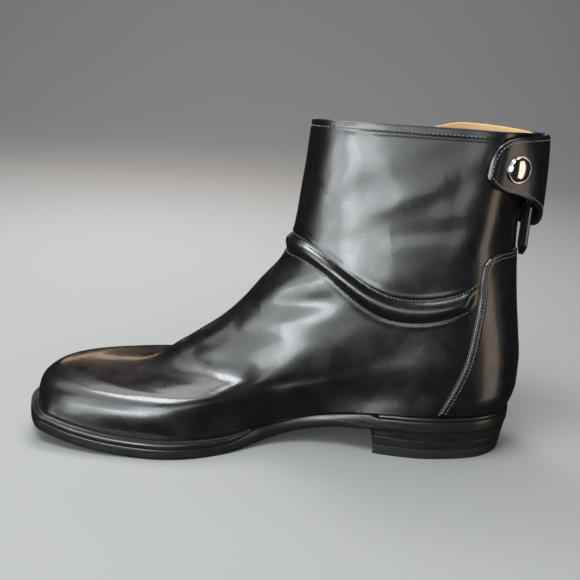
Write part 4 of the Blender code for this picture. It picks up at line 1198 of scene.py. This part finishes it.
def texture(tree, kind, scale, detail=2.0, stretch=(1, 1, 1)):
    """Noise or cells in the object's own space."""
    place = tree.nodes.new("ShaderNodeTexCoord")
    mapped = tree.nodes.new("ShaderNodeMapping")
    mapped.inputs["Scale"].default_value = stretch
    tree.links.new(place.outputs["Object"], mapped.inputs["Vector"])
    node = tree.nodes.new(kind)
    node.inputs["Scale"].default_value = scale
    if kind == "ShaderNodeTexNoise":
        node.inputs["Detail"].default_value = detail
    tree.links.new(mapped.outputs["Vector"], node.inputs["Vector"])
    return node.outputs["Distance" if kind == "ShaderNodeTexVoronoi" else "Fac"]


def bump(tree, node, height, strength, distance):
    """Adds one layer of bump to a shader."""
    made = tree.nodes.new("ShaderNodeBump")
    made.inputs["Strength"].default_value = strength
    made.inputs["Distance"].default_value = distance
    tree.links.new(height, made.inputs["Height"])
    if node.inputs["Normal"].is_linked:
        tree.links.new(node.inputs["Normal"].links[0].from_socket, made.inputs["Normal"])
    tree.links.new(made.outputs["Normal"], node.inputs["Normal"])


def vary(tree, socket, source, low, high, low_at=0.3, high_at=0.7):
    """Drives a value or colour between two ends."""
    if isinstance(low, tuple):
        spread = tree.nodes.new("ShaderNodeMapRange")
        spread.inputs["From Min"].default_value = low_at
        spread.inputs["From Max"].default_value = high_at
        mix = tree.nodes.new("ShaderNodeMix")
        mix.data_type = "RGBA"
        mix.inputs["A"].default_value = (*low, 1)
        mix.inputs["B"].default_value = (*high, 1)
        tree.links.new(source, spread.inputs["Value"])
        tree.links.new(spread.outputs["Result"], mix.inputs["Factor"])
        tree.links.new(mix.outputs["Result"], socket)
        return
    spread = tree.nodes.new("ShaderNodeMapRange")
    for label, value in (("From Min", low_at), ("From Max", high_at), ("To Min", low), ("To Max", high)):
        spread.inputs[label].default_value = value
    tree.links.new(source, spread.inputs["Value"])
    tree.links.new(spread.outputs["Result"], socket)


def make_looks():
    """Every material of the boot, by name."""
    looks = {}
    calf, tree, node = shader("polished_calf", (0.005, 0.005, 0.006), 0.26, coat=0.7, coat_roughness=0.13,
                              specular=0.9)
    vary(tree, node.inputs["Base Color"], texture(tree, "ShaderNodeTexNoise", 60, 4), (0.004, 0.004, 0.005),
         (0.008, 0.008, 0.009))
    vary(tree, node.inputs["Roughness"], texture(tree, "ShaderNodeTexNoise", 90, 2), 0.22, 0.34)
    bump(tree, node, texture(tree, "ShaderNodeTexNoise", 1600, 1), 0.24, 0.0003)
    looks["calf"] = calf
    sole, tree, node = shader("waxed_edge", (0.012, 0.012, 0.012), 0.32, coat=0.45, coat_roughness=0.18,
                              specular=0.8)
    vary(tree, node.inputs["Roughness"], texture(tree, "ShaderNodeTexNoise", 70, 4, (1, 1, 6)), 0.26, 0.44)
    bump(tree, node, texture(tree, "ShaderNodeTexNoise", 70, 3, (1, 1, 14)), 0.35, 0.0004)
    looks["sole"] = sole
    rubber, tree, node = shader("lift_rubber", (0.018, 0.018, 0.018), 0.5)
    bump(tree, node, texture(tree, "ShaderNodeTexNoise", 1500, 2), 0.3, 0.0002)
    vary(tree, node.inputs["Roughness"], texture(tree, "ShaderNodeTexNoise", 90, 4, (1, 1, 6)), 0.42, 0.6)
    looks["rubber"] = rubber
    lining, tree, node = shader("tan_calf_lining", (0.78, 0.52, 0.24), 0.5)
    vary(tree, node.inputs["Base Color"], texture(tree, "ShaderNodeTexNoise", 45, 5), (0.72, 0.46, 0.20),
         (0.84, 0.59, 0.30))
    bump(tree, node, texture(tree, "ShaderNodeTexVoronoi", 1100), 0.25, 0.0002)
    looks["lining"] = lining
    thread, tree, node = shader("grey_thread", (0.11, 0.11, 0.12), 0.45)
    bump(tree, node, texture(tree, "ShaderNodeTexNoise", 5000, 2), 0.4, 0.0001)
    vary(tree, node.inputs["Base Color"], texture(tree, "ShaderNodeTexNoise", 400, 2), (0.12, 0.12, 0.13),
         (0.24, 0.24, 0.25))
    looks["thread"] = thread
    dark, tree, node = shader("black_thread", (0.045, 0.045, 0.048), 0.42)
    bump(tree, node, texture(tree, "ShaderNodeTexNoise", 5000, 2), 0.4, 0.0001)
    looks["dark"] = dark
    steel, tree, node = shader("mirror_steel", (0.86, 0.85, 0.83), 0.09, metallic=1.0)
    vary(tree, node.inputs["Roughness"], texture(tree, "ShaderNodeTexNoise", 300, 4), 0.06, 0.13)
    looks["steel"] = steel
    zip_metal, tree, node = shader("dark_zip_metal", (0.10, 0.10, 0.105), 0.32, metallic=1.0)
    vary(tree, node.inputs["Roughness"], texture(tree, "ShaderNodeTexNoise", 900, 3), 0.26, 0.42)
    looks["zip"] = zip_metal
    tape, tree, node = shader("zip_tape_cloth", (0.012, 0.012, 0.013), 0.8)
    bump(tree, node, texture(tree, "ShaderNodeTexVoronoi", 2600), 0.6, 0.0002)
    looks["tape"] = tape
    return looks


# studio

def area_light(name, place, aim, size, power, colour=PLAIN):
    """Soft lamp that the camera doesn't see."""
    made = bpy.data.lights.new(name, "AREA")
    made.shape = "RECTANGLE"
    made.size, made.size_y = size
    made.energy = power
    made.color = colour
    lamp = bpy.data.objects.new(name, made)
    lamp.location = place
    lamp.visible_camera = False
    lamp.rotation_euler = (Vector(aim) - Vector(place)).to_track_quat("-Z", "Y").to_euler()
    bpy.context.collection.objects.link(lamp)
    return lamp


def make_studio():
    """Paper backdrop, dim world and lamps."""
    profile_line = [(-3.0, 0.0), (1.0, 0.0)]
    profile_line += [(1.0 + math.sin(t), 1.0 - math.cos(t)) for t in np.linspace(0.05, math.pi / 2, 24)]
    profile_line += [(2.0, 5.0)]
    points = [(x, y, z) for y, z in profile_line for x in (-5.0, 5.0)]
    mesh = bpy.data.meshes.new("backdrop")
    mesh.from_pydata(points, [], grid_faces(len(profile_line), 2))
    mesh.shade_smooth()
    look, tree, node = shader("studio_paper", (0.42, 0.42, 0.42), 0.9)
    vary(tree, node.inputs["Base Color"], texture(tree, "ShaderNodeTexNoise", 1.2, 2), (0.41, 0.41, 0.41),
         (0.43, 0.43, 0.43))
    mesh.materials.append(look)
    floor = bpy.data.objects.new("backdrop", mesh)
    bpy.context.collection.objects.link(floor)
    floor.visible_glossy = False
    world = bpy.data.worlds.new("studio")
    world.use_nodes = True
    world.node_tree.nodes["Background"].inputs["Color"].default_value = (0.5, 0.52, 0.55, 1)
    world.node_tree.nodes["Background"].inputs["Strength"].default_value = 0.035
    bpy.context.scene.world = world
    for lamp in LAMPS:
        area_light(*lamp)
    pool = area_light("paper_pool", (-0.15, 0.48, 1.0), (-0.15, 0.48, 0.0), (0.30, 0.30), 1.2)
    pool.data.spread = 1.4
    pool.visible_glossy = False
    bpy.context.scene.view_settings.view_transform = "Standard"


def make_camera():
    """Camera at the photo's place."""
    yaw, pitch, roll = (math.radians(v) for v in CAMERA_TURN)
    forward = Vector((math.sin(yaw) * math.cos(pitch), math.cos(yaw) * math.cos(pitch), -math.sin(pitch)))
    right = Vector((math.cos(yaw), -math.sin(yaw), 0))
    up = right.cross(forward)
    x_axis = math.cos(roll) * right + math.sin(roll) * up
    y_axis = -math.sin(roll) * right + math.cos(roll) * up
    turn = Matrix((x_axis, y_axis, -forward)).transposed().to_4x4()
    camera = bpy.data.cameras.new("camera")
    camera.lens = CAMERA_LENS
    camera.sensor_width = SENSOR_WIDTH
    camera.clip_start = 0.01
    made = bpy.data.objects.new("camera", camera)
    made.matrix_world = Matrix.Translation(Vector(CAMERA_PLACE) * MM) @ turn
    bpy.context.collection.objects.link(made)
    bpy.context.scene.camera = made


def dress_nodes(looks):
    """CAD nodes that keep their own shape."""
    for node, look, edge in (("insole", "lining", 0.0008), ("zip_slider", "zip", 0.00025),
                             ("pull_tongue", "zip", 0.0002), ("snap_stud", "steel", 0.0002)):
        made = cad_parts[node]
        made.data.materials.clear()
        made.data.materials.append(looks[look])
        soft = made.modifiers.new("edges", "BEVEL")
        soft.width = edge
        soft.segments = 2
        soft.limit_method = "ANGLE"


def main():
    """Builds everything that the frame doesn't hold."""
    looks = make_looks()
    make_skin(looks["calf"], looks["lining"])
    make_panel(looks["calf"])
    sew_upper(looks["thread"])
    make_sole(looks["sole"])
    start = math.acos(1 - 2 * WELT_START)
    angles = np.linspace(start, 2 * math.pi - start, 900)
    strip_piece("welt_strip", angles, WELT_THICKNESS, ("welt",), looks["sole"], 1.0)
    start = math.acos(1 - 2 * RAND_END)
    angles = np.linspace(-start, start, 200)
    strip_piece("rand_strip", angles, RAND_THICKNESS, ("heel_rand",), looks["sole"], 0.0)
    make_heel(looks["sole"], looks["rubber"])
    make_strap(looks["calf"])
    sew_strap(looks["thread"])
    make_snap_cap(looks["steel"])
    make_zip_pieces(looks["tape"], looks["zip"])
    make_pull_piece(looks["calf"], looks["dark"])
    dress_nodes(looks)
    make_studio()
    make_camera()


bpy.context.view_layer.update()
ROLL_EDGE = roll_edge()
main()
